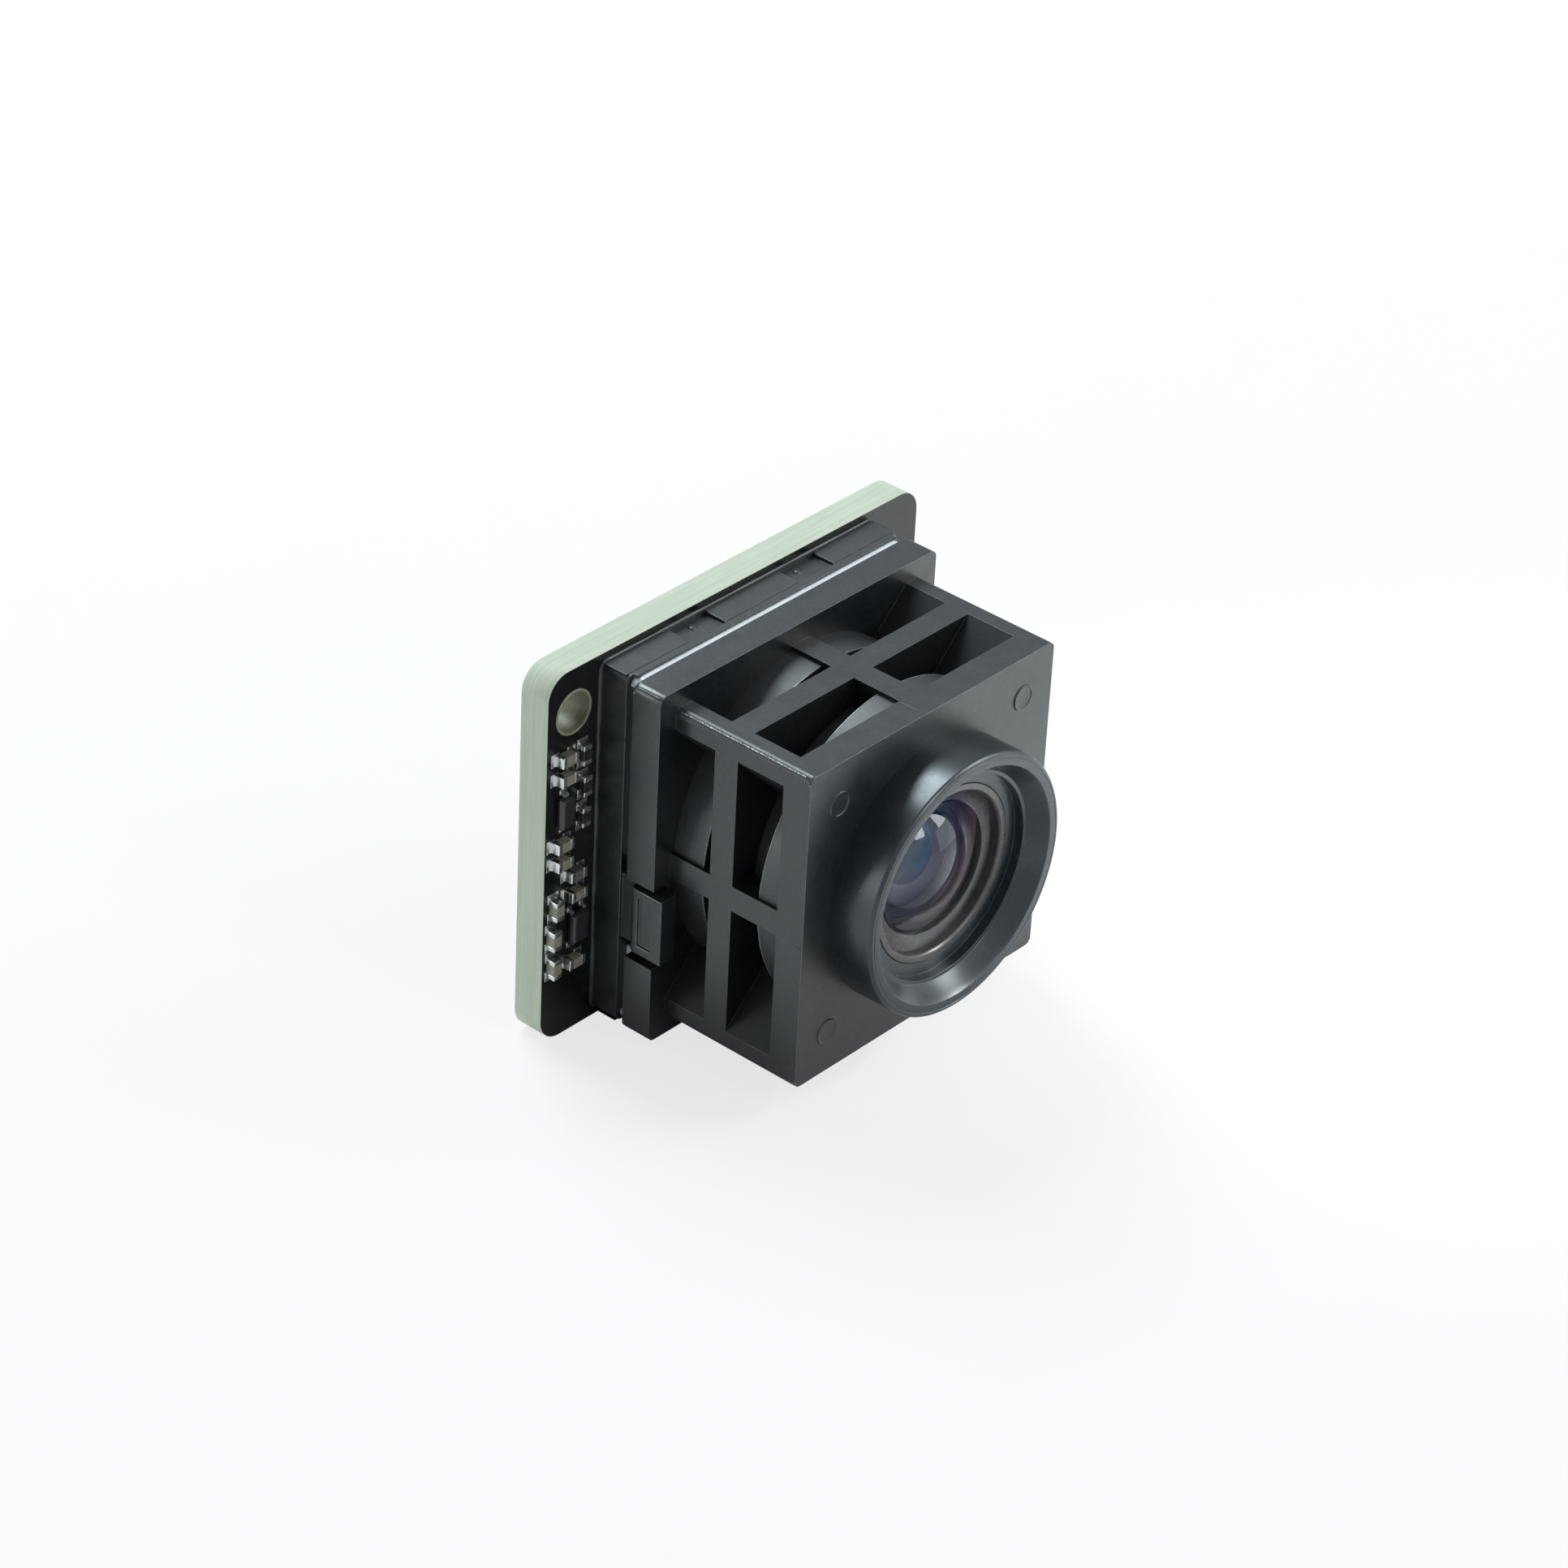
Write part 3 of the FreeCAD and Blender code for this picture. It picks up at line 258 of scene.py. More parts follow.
def rounded_block(centre, half, radius, slot=0):
    """A box with all edges rounded: the corner of a smaller box plus a ball's point, as one grid."""
    steps = 4
    half = np.asarray(half, float)
    radius = min(radius, 0.98 * float(half.min()))
    inner = half - radius
    round_angle, sign_x, sign_y = corner_turns(steps)
    quarter = np.linspace(0, np.pi / 2, steps)
    rise_angle = np.concatenate([quarter - np.pi / 2, quarter])
    sign_z = np.repeat([-1, 1], steps)
    level = np.cos(rise_angle)[:, None]
    x = sign_x * inner[0] + radius * level * np.cos(round_angle)
    y = sign_y * inner[1] + radius * level * np.sin(round_angle)
    z = (sign_z * inner[2] + radius * np.sin(rise_angle))[:, None] + 0 * x
    points = np.stack([x, y, z], axis=-1) + np.asarray(centre, float)
    return grid_surface(points, cap_ends=True, slot=slot)


def rounded_outline(half_width, half_height, radius, steps):
    """The outline of a rectangle with rounded corners, as points all the way round."""
    angle, sign_across, sign_along = corner_turns(steps)
    across = sign_across * (half_width - radius) + radius * np.cos(angle)
    along = sign_along * (half_height - radius) + radius * np.sin(angle)
    return np.stack([across, along], axis=-1)


# %% [markdown]
# ## Material helpers
# Every finish here is a shader fed by noises on the object's own coordinates. A fine noise tips the surface
# through a bump node, a broad one moves the roughness and the colour a little, as a real surface does
# where the melt met a cooler wall or a hand has rubbed it. The small functions below are the vocabulary.

# %% Helpers: noises, ranges and bumps
def fresh(name):
    """A new material, its node tree and its shader."""
    material = bpy.data.materials.new(name)
    material.use_nodes = True
    tree = material.node_tree
    return material, tree, tree.nodes["Principled BSDF"]


def noise(tree, scale, detail, roughness=0.55, stretch=None):
    """A noise on the object's own coordinates, in grains per metre, stretched along an axis if wanted."""
    place = tree.nodes.new("ShaderNodeTexCoord").outputs["Object"]
    texture = tree.nodes.new("ShaderNodeTexNoise")
    texture.inputs["Scale"].default_value = scale
    texture.inputs["Detail"].default_value = detail
    texture.inputs["Roughness"].default_value = roughness
    if stretch:
        squeeze = tree.nodes.new("ShaderNodeMapping")
        squeeze.inputs["Scale"].default_value = stretch
        tree.links.new(place, squeeze.inputs["Vector"])
        place = squeeze.outputs["Vector"]
    tree.links.new(place, texture.inputs["Vector"])
    return texture.outputs["Fac"]


def spread(tree, source, low, high, from_low=0.3, from_high=0.7):
    """Stretches a noise's middle values over the range low to high."""
    node = tree.nodes.new("ShaderNodeMapRange")
    node.inputs["From Min"].default_value = from_low
    node.inputs["From Max"].default_value = from_high
    node.inputs["To Min"].default_value = low
    node.inputs["To Max"].default_value = high
    tree.links.new(source, node.inputs["Value"])
    return node.outputs["Result"]


def tint(tree, factor, first, second):
    """A colour between two, by a factor."""
    node = tree.nodes.new("ShaderNodeMix")
    node.data_type = "RGBA"
    node.inputs[6].default_value = (*first, 1)
    node.inputs[7].default_value = (*second, 1)
    tree.links.new(factor, node.inputs[0])
    return node.outputs[2]


def mixed(tree, factor, first, second):
    """The first shader where the factor is nought, the second where it is one."""
    node = tree.nodes.new("ShaderNodeMixShader")
    for number, source in enumerate((factor, first, second)):
        tree.links.new(source, node.inputs[number])
    return node.outputs[0]


def bump(tree, shader, heights):
    """Tips the surface by one or more height maps, each with its own depth in metres."""
    normal = None
    for height, depth in heights:
        node = tree.nodes.new("ShaderNodeBump")
        node.inputs["Strength"].default_value = 1.0
        node.inputs["Distance"].default_value = depth
        tree.links.new(height, node.inputs["Height"])
        if normal:
            tree.links.new(normal, node.inputs["Normal"])
        normal = node.outputs["Normal"]
    tree.links.new(normal, shader.inputs["Normal"])


# %% [markdown]
# ## Materials: moulded plastic
# The black plastics are satin. Close up they show a fine grain from the tool's surface and a slow change
# of gloss. The lens hood comes from a sparked tool: its grain is finer and more even, so its highlights are
# broad and soft, and its sheen is a little blue. The walls inside the bays get a darker black with a weaker
# shine: painted shade, where little light reaches.

# %% Plastics
def moulded(name, dark, light, roughness, grain=9000.0, depth=2.5e-6, swing=0.045, waves=5e-6, ior=1.60,
            shine=0.7, sheen=(1.0, 1.0, 1.0)):
    """Satin black plastic: fine grain in the bump, slow changes in gloss and colour.

    The grain is in grains per metre. Depth and waves are the heights of its fine and its broad bumps, in
    metres, and swing is how far the roughness strays to either side."""
    material, tree, shader = fresh(name)
    shader.inputs["IOR"].default_value = ior
    shader.inputs["Specular IOR Level"].default_value = shine
    shader.inputs["Specular Tint"].default_value = (*sheen, 1)
    slow = noise(tree, 900.0, 5.0, 0.65)
    specks = spread(tree, noise(tree, grain * 0.5, 3.0, 0.7), 0, 1, 0.35, 0.75)
    tree.links.new(tint(tree, specks, dark, light), shader.inputs["Base Color"])
    tree.links.new(spread(tree, slow, roughness - swing, roughness + swing), shader.inputs["Roughness"])
    fine = noise(tree, grain, 4.0, 0.6)
    broad = noise(tree, 1700.0, 4.0, 0.6)
    bump(tree, shader, [(fine, depth), (broad, waves)])
    return material


night = (0.003, 0.005, 0.007)
housing_black = moulded("satin_housing", night, (0.016, 0.020, 0.023), 0.34, depth=4e-6)
collar_black = moulded("dull_collars", night, (0.014, 0.018, 0.022), 0.52, 7000.0, 6e-6)
# Painted shade: the walls inside the bays get a darker base colour and a weaker shine than the rest of the
# housing.
bay_painted_shade = moulded("bay_walls_painted_shade", (0.002, 0.003, 0.004), (0.008, 0.011, 0.013), 0.50, depth=4e-6, shine=0.3)
# The two edge materials are much lighter than the faces beside them: partly wear on the rounds, partly a
# painted highlight along them.
housing_edge_wear_highlight = moulded("edges_worn_and_painted_highlight", (0.085, 0.094, 0.098), (0.230, 0.243, 0.250), 0.27, 5000.0, 5e-6)
holder_edge_wear_highlight = moulded("holder_edges_rubbed_and_painted_highlight", (0.020, 0.023, 0.025), (0.070, 0.076, 0.080), 0.30, 5000.0,
                      4e-6)
holder_black = moulded("satin_holder", night, (0.014, 0.018, 0.021), 0.40, 8000.0, 4e-6)
hood_black = moulded("sparked_hood", (0.002, 0.004, 0.006), (0.013, 0.020, 0.027), 0.30, 14000.0, 2.2e-6,
                     0.04, 1e-6, sheen=(0.90, 0.97, 1.0))
ring_black = moulded("turned_ring", (0.048, 0.046, 0.043), (0.075, 0.072, 0.068), 0.30, 6000.0, 1e-6,
                     0.05, 1e-6)
ground_rim = moulded("ground_glass_rim", (0.115, 0.112, 0.106), (0.175, 0.171, 0.163), 0.22, 5000.0, 1e-6,
                     0.05, 1e-6, 1.50)
spacer_dark = moulded("blackened_spacer", (0.008, 0.008, 0.008), (0.014, 0.014, 0.014), 0.45)
# Painted reflection: the stop's face is a mid grey, far lighter than the spacers, standing in for the grey
# reflection seen through the lenses.
stop_grey_reflection = moulded("stop_grey_painted_reflection", (0.055, 0.052, 0.050), (0.075, 0.071, 0.068), 0.5)
connector_black = moulded("connector_moulding", (0.026, 0.025, 0.023), (0.042, 0.040, 0.037), 0.48)
epoxy_black = moulded("package_epoxy", (0.006, 0.006, 0.007), (0.018, 0.018, 0.020), 0.45, 20000.0, 4e-6)
print("plastics:", len(bpy.data.materials), "materials so far")

# %% [markdown]
# ## Material: silicone
# The seal between holder and flange is pale silicone. Its pale colour is partly its own and partly a
# painted highlight for the bright line along the flange's rear edge. Light enters it a little way and comes
# out again beside the place where it went in, which makes it look soft and slightly lit from within. The
# shader's subsurface part does that, with a reach of a fraction of a millimetre.

# %% Silicone seal
scatter_reach = 0.0003
silicone_and_highlight, tree, shader = fresh("pale_silicone_and_painted_highlight")
cloud = noise(tree, 1200.0, 3.0)
# The pale colour is partly the seal's own and partly a painted highlight: it draws the bright line along
# the flange's rear edge.
pale = tint(tree, spread(tree, cloud, 0, 1), (0.66, 0.75, 0.78), (0.80, 0.87, 0.89))
tree.links.new(pale, shader.inputs["Base Color"])
tree.links.new(spread(tree, cloud, 0.24, 0.36), shader.inputs["Roughness"])
shader.inputs["Subsurface Weight"].default_value = 0.35
shader.inputs["Subsurface Radius"].default_value = (0.9, 1.0, 1.0)
shader.inputs["Subsurface Scale"].default_value = scatter_reach
bump(tree, shader, [(noise(tree, 3000.0, 3.0), 5e-6)])
print(silicone_and_highlight.name, "scatters light over about", round(scatter_reach / MM, 1), "mm")

# %% [markdown]
# ## Materials: glass with a coating
# A coated lens face carries a film a fraction of a wavelength thick. It takes most of the reflection away
# and what is left is weak and coloured. The shader has that film as two numbers of its own, its thickness
# in nanometres and its refraction. A real coating is a stack of layers, so one film with an ideal
# refraction, near the root of the glass's own, stands for the stack. The hollow rear face of the front
# lens has no film here, and so it shows a bright curved reflection. A trace of dust and cleaning marks
# keeps the glass from being perfectly clean: a broad noise raises the roughness a very little in patches.
# Lamp light that is on its way to the parts behind a glass passes straight through, so the inside of the
# lens isn't left dark.

# %% Coated glass
def coated_glass(name, film, ior, colour=(1, 1, 1), haze=0.01, film_ior=1.38):
    """Clear glass under a film so many nanometres thick, with faint uneven haze. No film is 0."""
    material, tree, shader = fresh(name)
    shader.inputs["Transmission Weight"].default_value = 1.0
    shader.inputs["IOR"].default_value = ior
    shader.inputs["Thin Film Thickness"].default_value = film
    shader.inputs["Thin Film IOR"].default_value = film_ior
    marks = noise(tree, 700.0, 3.0)
    tree.links.new(spread(tree, marks, 0.0, haze), shader.inputs["Roughness"])
    duller = tuple(0.97 * value for value in colour)
    tree.links.new(tint(tree, marks, colour, duller), shader.inputs["Base Color"])
    clear = tree.nodes.new("ShaderNodeBsdfTransparent")
    clear.inputs["Color"].default_value = (*(0.9 * value for value in colour), 1)
    is_shadow = tree.nodes.new("ShaderNodeLightPath").outputs["Is Shadow Ray"]
    surface = mixed(tree, is_shadow, shader.outputs[0], clear.outputs[0])
    tree.links.new(surface, tree.nodes["Material Output"].inputs["Surface"])
    return material


lens_ior, ideal_film = 1.60, 1.27
front_colour = (0.95, 0.97, 0.99)
front_glass = coated_glass("coated_front_glass", 144.0, lens_ior, front_colour, 0.004, ideal_film)
hollow_glass = coated_glass("coated_hollow_glass", 0.0, lens_ior, front_colour, 0.004)
inner_glass = coated_glass("coated_inner_glass", 190.0, lens_ior, (0.82, 0.88, 0.97), 0.006, ideal_film)
cover_glass = coated_glass("thin_lid_glass", 100.0, 1.5)
filter_glass = coated_glass("blue_filter_glass", 320.0, 1.52, (0.55, 0.75, 0.80))
glasses = (front_glass, hollow_glass, inner_glass, cover_glass, filter_glass)
print("glasses:", [glass.name for glass in glasses])

# %% [markdown]
# ## Materials: metal, ceramic and board
# Tinned ends are bright but never mirrors: solder cools with a slightly grainy skin. The small capacitors
# are fired tan ceramic, the resistors dark glass film. The board's black mask is glossy with a faint
# ripple, and its cut edge shows the pale glass-epoxy inside, in layers that lie parallel to its faces.

# %% Metals and ceramics
def solid_finish(name, dark, light, roughness, metallic, scale, depth=2e-6, swing=0.06, stretch=None,
                 shine=0.5):
    """A metal, ceramic or laminate: one noise moves colour and roughness and tips the surface.

    The noise's scale is in grains per metre, multiplied along each axis by the stretch."""
    material, tree, shader = fresh(name)
    shader.inputs["Metallic"].default_value = metallic
    shader.inputs["Specular IOR Level"].default_value = shine
    cloud = noise(tree, scale, 4.0, 0.6, stretch)
    tree.links.new(tint(tree, spread(tree, cloud, 0, 1), dark, light), shader.inputs["Base Color"])
    tree.links.new(spread(tree, cloud, roughness - swing, roughness + swing), shader.inputs["Roughness"])
    bump(tree, shader, [(cloud, depth)])
    return material


tin = solid_finish("tinned_ends", (0.60, 0.61, 0.58), (0.84, 0.85, 0.82), 0.27, 1, 4200.0, 8e-6)
solder = solid_finish("solder_skin", (0.42, 0.43, 0.41), (0.62, 0.63, 0.60), 0.24, 1, 3000.0, 9e-6)
gold = solid_finish("gold_plate", (0.80, 0.60, 0.27), (0.88, 0.70, 0.38), 0.24, 1, 2500.0)
capacitor_tan = solid_finish("tan_ceramic", (0.24, 0.23, 0.17), (0.36, 0.34, 0.26), 0.42, 0, 6000.0)
resistor_dark = solid_finish("dark_glaze", (0.020, 0.019, 0.020), (0.045, 0.043, 0.045), 0.3, 0, 4000.0)
ferrite_grey = solid_finish("fired_ferrite", (0.12, 0.105, 0.11), (0.19, 0.165, 0.17), 0.5, 0, 6000.0)
package_ceramic = solid_finish("package_ceramic", (0.05, 0.048, 0.048), (0.08, 0.075, 0.075), 0.6, 0,
                               2500.0)
silicon = solid_finish("etched_silicon", (0.05, 0.04, 0.10), (0.09, 0.07, 0.14), 0.15, 0.4, 900.0, 5e-7)
bead_grey = solid_finish("cured_bead", (0.020, 0.024, 0.027), (0.055, 0.062, 0.067), 0.3, 0, 1500.0, 4e-6)
laminate = solid_finish("bare_laminate", (0.51, 0.57, 0.45), (0.62, 0.67, 0.56), 0.6, 0, 1.0, 1.5e-6,
                        stretch=(200.0, 5200.0, 200.0), shine=0.2)
hole_wall = solid_finish("drilled_wall", (0.10, 0.10, 0.055), (0.19, 0.185, 0.115), 0.5, 0, 1.0, 5e-6, 0.08,
                         stretch=(900.0, 5000.0, 900.0))
hole_edge = solid_finish("bare_hole_edge", (0.24, 0.25, 0.17), (0.38, 0.39, 0.28), 0.5, 0, 2500.0)
mask_black = solid_finish("board_mask", (0.003, 0.003, 0.003), (0.008, 0.008, 0.008), 0.30, 0, 500.0,
                          6e-7, 0.03)
print("materials in all:", len(bpy.data.materials))

# %% [markdown]
# ## Copies of moulded solids
# The housing, the holder, the seal, the board and the connector have the right shape already, but every
# edge of a construction solid is knife-sharp, while a moulding's edge has a small round. A copy of the
# solid gets its loose triangles merged and its flat faces joined. Each sharp edge then gets a weight, from
# a rule that looks at where the edge is, and a Bevel modifier rounds it by that weight.

# %% Helpers: a merged copy with weighted rounds
def mesh_points(mesh):
    """All points of a mesh, in millimetres."""
    flat = np.zeros(len(mesh.vertices) * 3)
    mesh.vertices.foreach_get("co", flat)
    return flat.reshape(-1, 3) / MM


def squared_rim(points, plane, half_width, half_height, corner, margin):
    """Moves the points of a chamfered rim, in the plane y = plane, out to the full outline.

    A point goes straight away from the nearest place of the inner rectangle, as far as the corner's
    radius. The margin is how far inside that radius such a point may lie."""
    inner = np.array([half_width - corner, half_height - corner])
    flat = points[:, [0, 2]]
    nearest = np.clip(flat, -inner, inner)
    away = flat - nearest
    reach = np.linalg.norm(away, axis=1)
    in_plane = np.abs(points[:, 1] - plane) < touching
    on_rim = in_plane & (reach > corner - margin) & (reach < corner - touching)
    away[on_rim] *= (corner / reach[on_rim])[:, None]
    moved = points.copy()
    moved[:, 0] = np.where(on_rim, nearest[:, 0] + away[:, 0], points[:, 0])
    moved[:, 2] = np.where(on_rim, nearest[:, 1] + away[:, 1], points[:, 2])
    print("rim points moved:", int(on_rim.sum()))
    return moved


def merged_copy(node, reshape, extra):
    """A copy of a CAD node: doubled points merged, reshaped, flat neighbours joined, surfaces added."""
    same_point = 1e-6
    same_plane = math.radians(0.6)
    shell = bmesh.new()
    shell.from_mesh(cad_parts[node].data)
    bmesh.ops.remove_doubles(shell, verts=shell.verts, dist=same_point)
    mesh = bpy.data.meshes.new(node + "_copy")
    shell.to_mesh(mesh)
    if reshape:
        mesh.vertices.foreach_set("co", (reshape(mesh_points(mesh)) * MM).ravel())
    shell.clear()
    shell.from_mesh(mesh)
    bmesh.ops.remove_doubles(shell, verts=shell.verts, dist=same_point)
    bmesh.ops.dissolve_limit(shell, angle_limit=same_plane, verts=shell.verts, edges=shell.edges)
    if extra:
        added = surfaces_to_mesh(node + "_added", extra)
        close_mesh(added)
        shell.from_mesh(added)
        bpy.data.meshes.remove(added)
    bmesh.ops.recalc_face_normals(shell, faces=shell.faces)
    shell.to_mesh(mesh)
    shell.free()
    return mesh


def weigh_edges(mesh, rule, widest):
    """Gives each sharp edge the weight of the round that the rule wants at its middle.

    An edge bends by the angle between the normals of the two faces that share it: acos(n1 . n2)."""
    sharp = 32.0
    corner_edge = np.zeros(len(mesh.loops), np.int32)
    mesh.loops.foreach_get("edge_index", corner_edge)
    corner_count = np.zeros(len(mesh.polygons), np.int32)
    mesh.polygons.foreach_get("loop_total", corner_count)
    owner = np.repeat(np.arange(len(mesh.polygons)), corner_count)
    normals = np.zeros(len(mesh.polygons) * 3)
    mesh.polygons.foreach_get("normal", normals)
    normals = normals.reshape(-1, 3)
    order = np.argsort(corner_edge, kind="stable")
    first = np.searchsorted(corner_edge[order], np.arange(len(mesh.edges)))
    shared = np.bincount(corner_edge, minlength=len(mesh.edges)) == 2
    one = normals[owner[order[first[shared]]]]
    other = normals[owner[order[first[shared] + 1]]]
    bends = np.zeros(len(mesh.edges))
    bends[shared] = np.degrees(np.arccos(np.clip((one * other).sum(axis=1), -1, 1)))
    ends = np.zeros(len(mesh.edges) * 2, np.int32)
    mesh.edges.foreach_get("vertices", ends)
    middles = mesh_points(mesh)[ends.reshape(-1, 2)].mean(axis=1)
    weights = np.where(bends > sharp, rule(middles), 0.0) / widest
    layer = mesh.attributes.get("bevel_weight_edge")
    if layer is None:
        layer = mesh.attributes.new("bevel_weight_edge", "FLOAT", "EDGE")
    layer.data.foreach_set("value", weights)
    print(mesh.name, int((weights > 0).sum()), "edges to round")


def moulded_copy(name, node, materials, rule, widest, segments, reshape=None, extra=(), paint=None,
                 edge_slot=-1):
    """A softened copy of one node: rounds by weight, then shading ruled by the large flat faces.

    The rounds get the material of edge_slot, or with -1 the material of the faces beside them."""
    mesh = merged_copy(node, reshape, extra)
    weigh_edges(mesh, rule, widest)
    if paint:
        paint(mesh)
    mesh.polygons.foreach_set("use_smooth", np.ones(len(mesh.polygons), bool))
    piece = enlist(name, mesh, materials, (node,))
    rounding = piece.modifiers.new("edge_rounds", "BEVEL")
    rounding.limit_method = "WEIGHT"
    rounding.width = widest * MM
    rounding.segments = segments
    rounding.use_clamp_overlap = True
    rounding.loop_slide = True
    rounding.material = edge_slot
    flats = piece.modifiers.new("flat_faces_rule", "WEIGHTED_NORMAL")
    flats.keep_sharp = True
    return piece


# %% [markdown]
# ## The lens housing
# One moulding: flange, cored box, collars round the lens bore and the front plate. Its bays show the round
# collars inside, and a construction solid turns those into flat facets. Four fine sleeves, a hair larger
# than the facets, lie over them and end inside the ribs and webs, so each bay shows a true curve, with a
# fine ring in the lighter edge colour along its free edge: a painted highlight. On the front plate stand
# the round marks that ejector pins leave, and fine lines show where inserts met.

# %% Housing: collars, pin marks and insert lines
wide_collar, narrow_collar = 7.803, 6.603
collar_segments = 176


def sleeve(radius, front, rear):
    """A thin round sleeve about the axis from front to rear, with a small round on its edges."""
    inside = radius - 0.25
    profile = eased([(inside, front, 0), (radius, front, 0.05), (radius, rear, 0.05), (inside, rear, 0)])
    return turned_surface(profile, 0.0, segments=collar_segments, slot=2)


def painted_highlight_ring(radius, place):
    """A fine ring about the axis that stands a hair proud of a sleeve's edge, in the lighter edge colour: a
    painted highlight.
    """
    inside, outside, front, rear = radius - 0.05, radius + 0.012, place - 0.03, place + 0.03
    profile = eased([(inside, front, 0), (outside, front, 0.02), (outside, rear, 0.02), (inside, rear, 0)])
    return turned_surface(profile, 0.0, segments=collar_segments, slot=1)


# Radius, front and rear of each sleeve, and the place of its ring.
collars = [(wide_collar, plate_back - 0.2, plate_back + 1.252, plate_back + 1.235),
           (narrow_collar, plate_back + 1.0, plate_back + 3.0, plate_back + 2.985),
           (wide_collar, flange_front - 1.752, flange_front + 0.2, flange_front - 1.735),
           (narrow_collar, flange_front - 2.5, flange_front - 1.6, flange_front - 2.485)]
collar_sleeves = [sleeve(radius, front, rear) for radius, front, rear, _ in collars]
collar_highlight_rings = [painted_highlight_ring(radius, place) for radius, _, _, place in collars]
pin_mark = eased([(0, 0.1, 0), (0, -0.02, 0), (0.50, -0.02, 0.03), (0.54, -0.06, 0.02), (0.60, -0.06, 0.02),
                  (0.64, 0.0, 0.02), (0.64, 0.1, 0)], closed=False)
pin_x, pin_z = 6.05, 5.9
pin_marks = [turned_surface(pin_mark, plate_front, False, 56, centre=(x, z))
             for x in (-pin_x, pin_x) for z in (-pin_z, pin_z)]
line_place, line_offset = plate_front + 0.72, -0.66
line_length, line_width, line_rise, line_round = 0.70, 0.016, 0.014, 0.012
insert_lines = [rounded_block((side * half_box, line_place, line_offset),
                              (line_rise, line_length, line_width), line_round) for side in (-1, 1)]
insert_lines += [rounded_block((line_offset, line_place, side * half_box),
                               (line_width, line_length, line_rise), line_round) for side in (-1, 1)]
print(len(collars), "sleeves,", len(pin_marks), "pin marks,", len(insert_lines), "insert lines")

# %% [markdown]
# Where the tool's halves meet, a little plastic leaks into the gap. It leaves flash, a ridge of a few
# hundredths of a millimetre that comes and goes along the corner.

# %% Housing: flash
def flash_line(start, end, outward, size, turns):
    """A rough ridge that leaked between tool halves: a diamond section carried from start to end.

    Its height along the way is size (0.35 + 0.65 |sum of three sines| / 2.2), so that it comes and goes."""
    start, end, outward = (np.array(value, float) for value in (start, end, outward))
    outward /= np.linalg.norm(outward)
    way = (end - start) / np.linalg.norm(end - start)
    aside = np.cross(way, outward)
    t = np.linspace(0, 1, 260)
    wave = np.sin(turns * t) + 0.7 * np.sin(2.63 * turns * t + 1.0) + 0.5 * np.sin(5.9 * turns * t + 2.0)
    height = size * (0.35 + 0.65 * np.abs(wave) / 2.2)
    middle = start + np.outer(t, end - start)
    top = middle + outward * height[:, None] + aside * (0.3 * size * np.sin(3.1 * turns * t))[:, None]
    base = aside * size * 0.7
    ring = np.stack([top, middle + base, middle - outward * size, middle - base], axis=1)
    # Slot 1 gives the ridge the lighter edge colour: a painted highlight.
    return grid_surface(ring, cap_ends=True, slot=1)


def corner_flash(half_width, top, rear, front, size, turns):
    """Flash along the upper left corner of a block, from its rear to its front."""
    return flash_line((-half_width, rear, top), (-half_width, front, top), (-1, 0, 0.6), size, turns)


box_edge = half_box - 0.01
flash_lines = [
    corner_flash(box_edge, box_edge, flange_front - 0.3, plate_front + 0.3, 0.05, 61.0),
    corner_flash(half_flange - 0.02, flange_top - 0.02, flange_rear - 0.3, flange_front + 0.1, 0.03, 17.0),
]
print(len(flash_lines), "lines of flash")

# %% [markdown]
# The rounds of the housing are large on its outer rims and small in the lattice. The construction model has
# chamfers on two rims. They are squared first, so that a real round takes their place. The walls inside
# the bays get the darker black of painted shade.

# %% Housing: rounds and painted shade in the bays
lattice_round, flange_round, rim_round = 0.06, 0.13, 0.16
flange_corner, plate_corner = 0.4, 0.35


def housing_rims(points):
    """Squares the chamfers of the flange's rear and the plate's front, for a real round instead."""
    points = squared_rim(points, flange_rear, half_flange, flange_top, flange_corner, 0.25)
    return squared_rim(points, plate_front, half_box, half_box, plate_corner, 0.2)


def housing_rounds(middle):
    """Rounds for the housing: large on the outer rims, small in the lattice."""
    span = np.abs(middle[:, [0, 2]]).max(axis=1)
    on_flange = span > half_flange - 0.2
    width = np.full(len(middle), lattice_round)
    width[(middle[:, 1] < plate_front + 0.2) & (span / half_box > 0.97)] = rim_round
    width[(np.abs(middle[:, 1] - flange_front) < 0.05) & on_flange] = flange_round
    width[(np.abs(middle[:, 1] - flange_rear) < 0.05) & on_flange] = rim_round
    return width


def paint_bay_shade(mesh):
    """Paints shade on the walls inside the bays: they get the darker black.

    Such a face stays within the box, between plate and flange, and reaches in from its outline."""
    corner_point = np.zeros(len(mesh.loops), np.int32)
    mesh.loops.foreach_get("vertex_index", corner_point)
    first = np.zeros(len(mesh.polygons), np.int32)
    mesh.polygons.foreach_get("loop_start", first)
    places = mesh_points(mesh)[corner_point]
    spans = np.abs(places[:, [0, 2]]).max(axis=1)
    within = np.maximum.reduceat(spans, first) < half_box + touching
    reaches_in = np.minimum.reduceat(spans, first) < half_box - 2 * touching
    behind_plate = np.minimum.reduceat(places[:, 1], first) > plate_back - touching
    before_flange = np.maximum.reduceat(places[:, 1], first) < flange_front + touching
    slots = np.zeros(len(mesh.polygons), np.int32)
    mesh.polygons.foreach_get("material_index", slots)
    # Painted shade: these faces get the darker black of slot 3.
    painted_shade = within & reaches_in & behind_plate & before_flange & (slots == 0)
    slots[painted_shade] = 3
    mesh.polygons.foreach_set("material_index", slots)
    print("dull faces in the bays:", int(painted_shade.sum()))


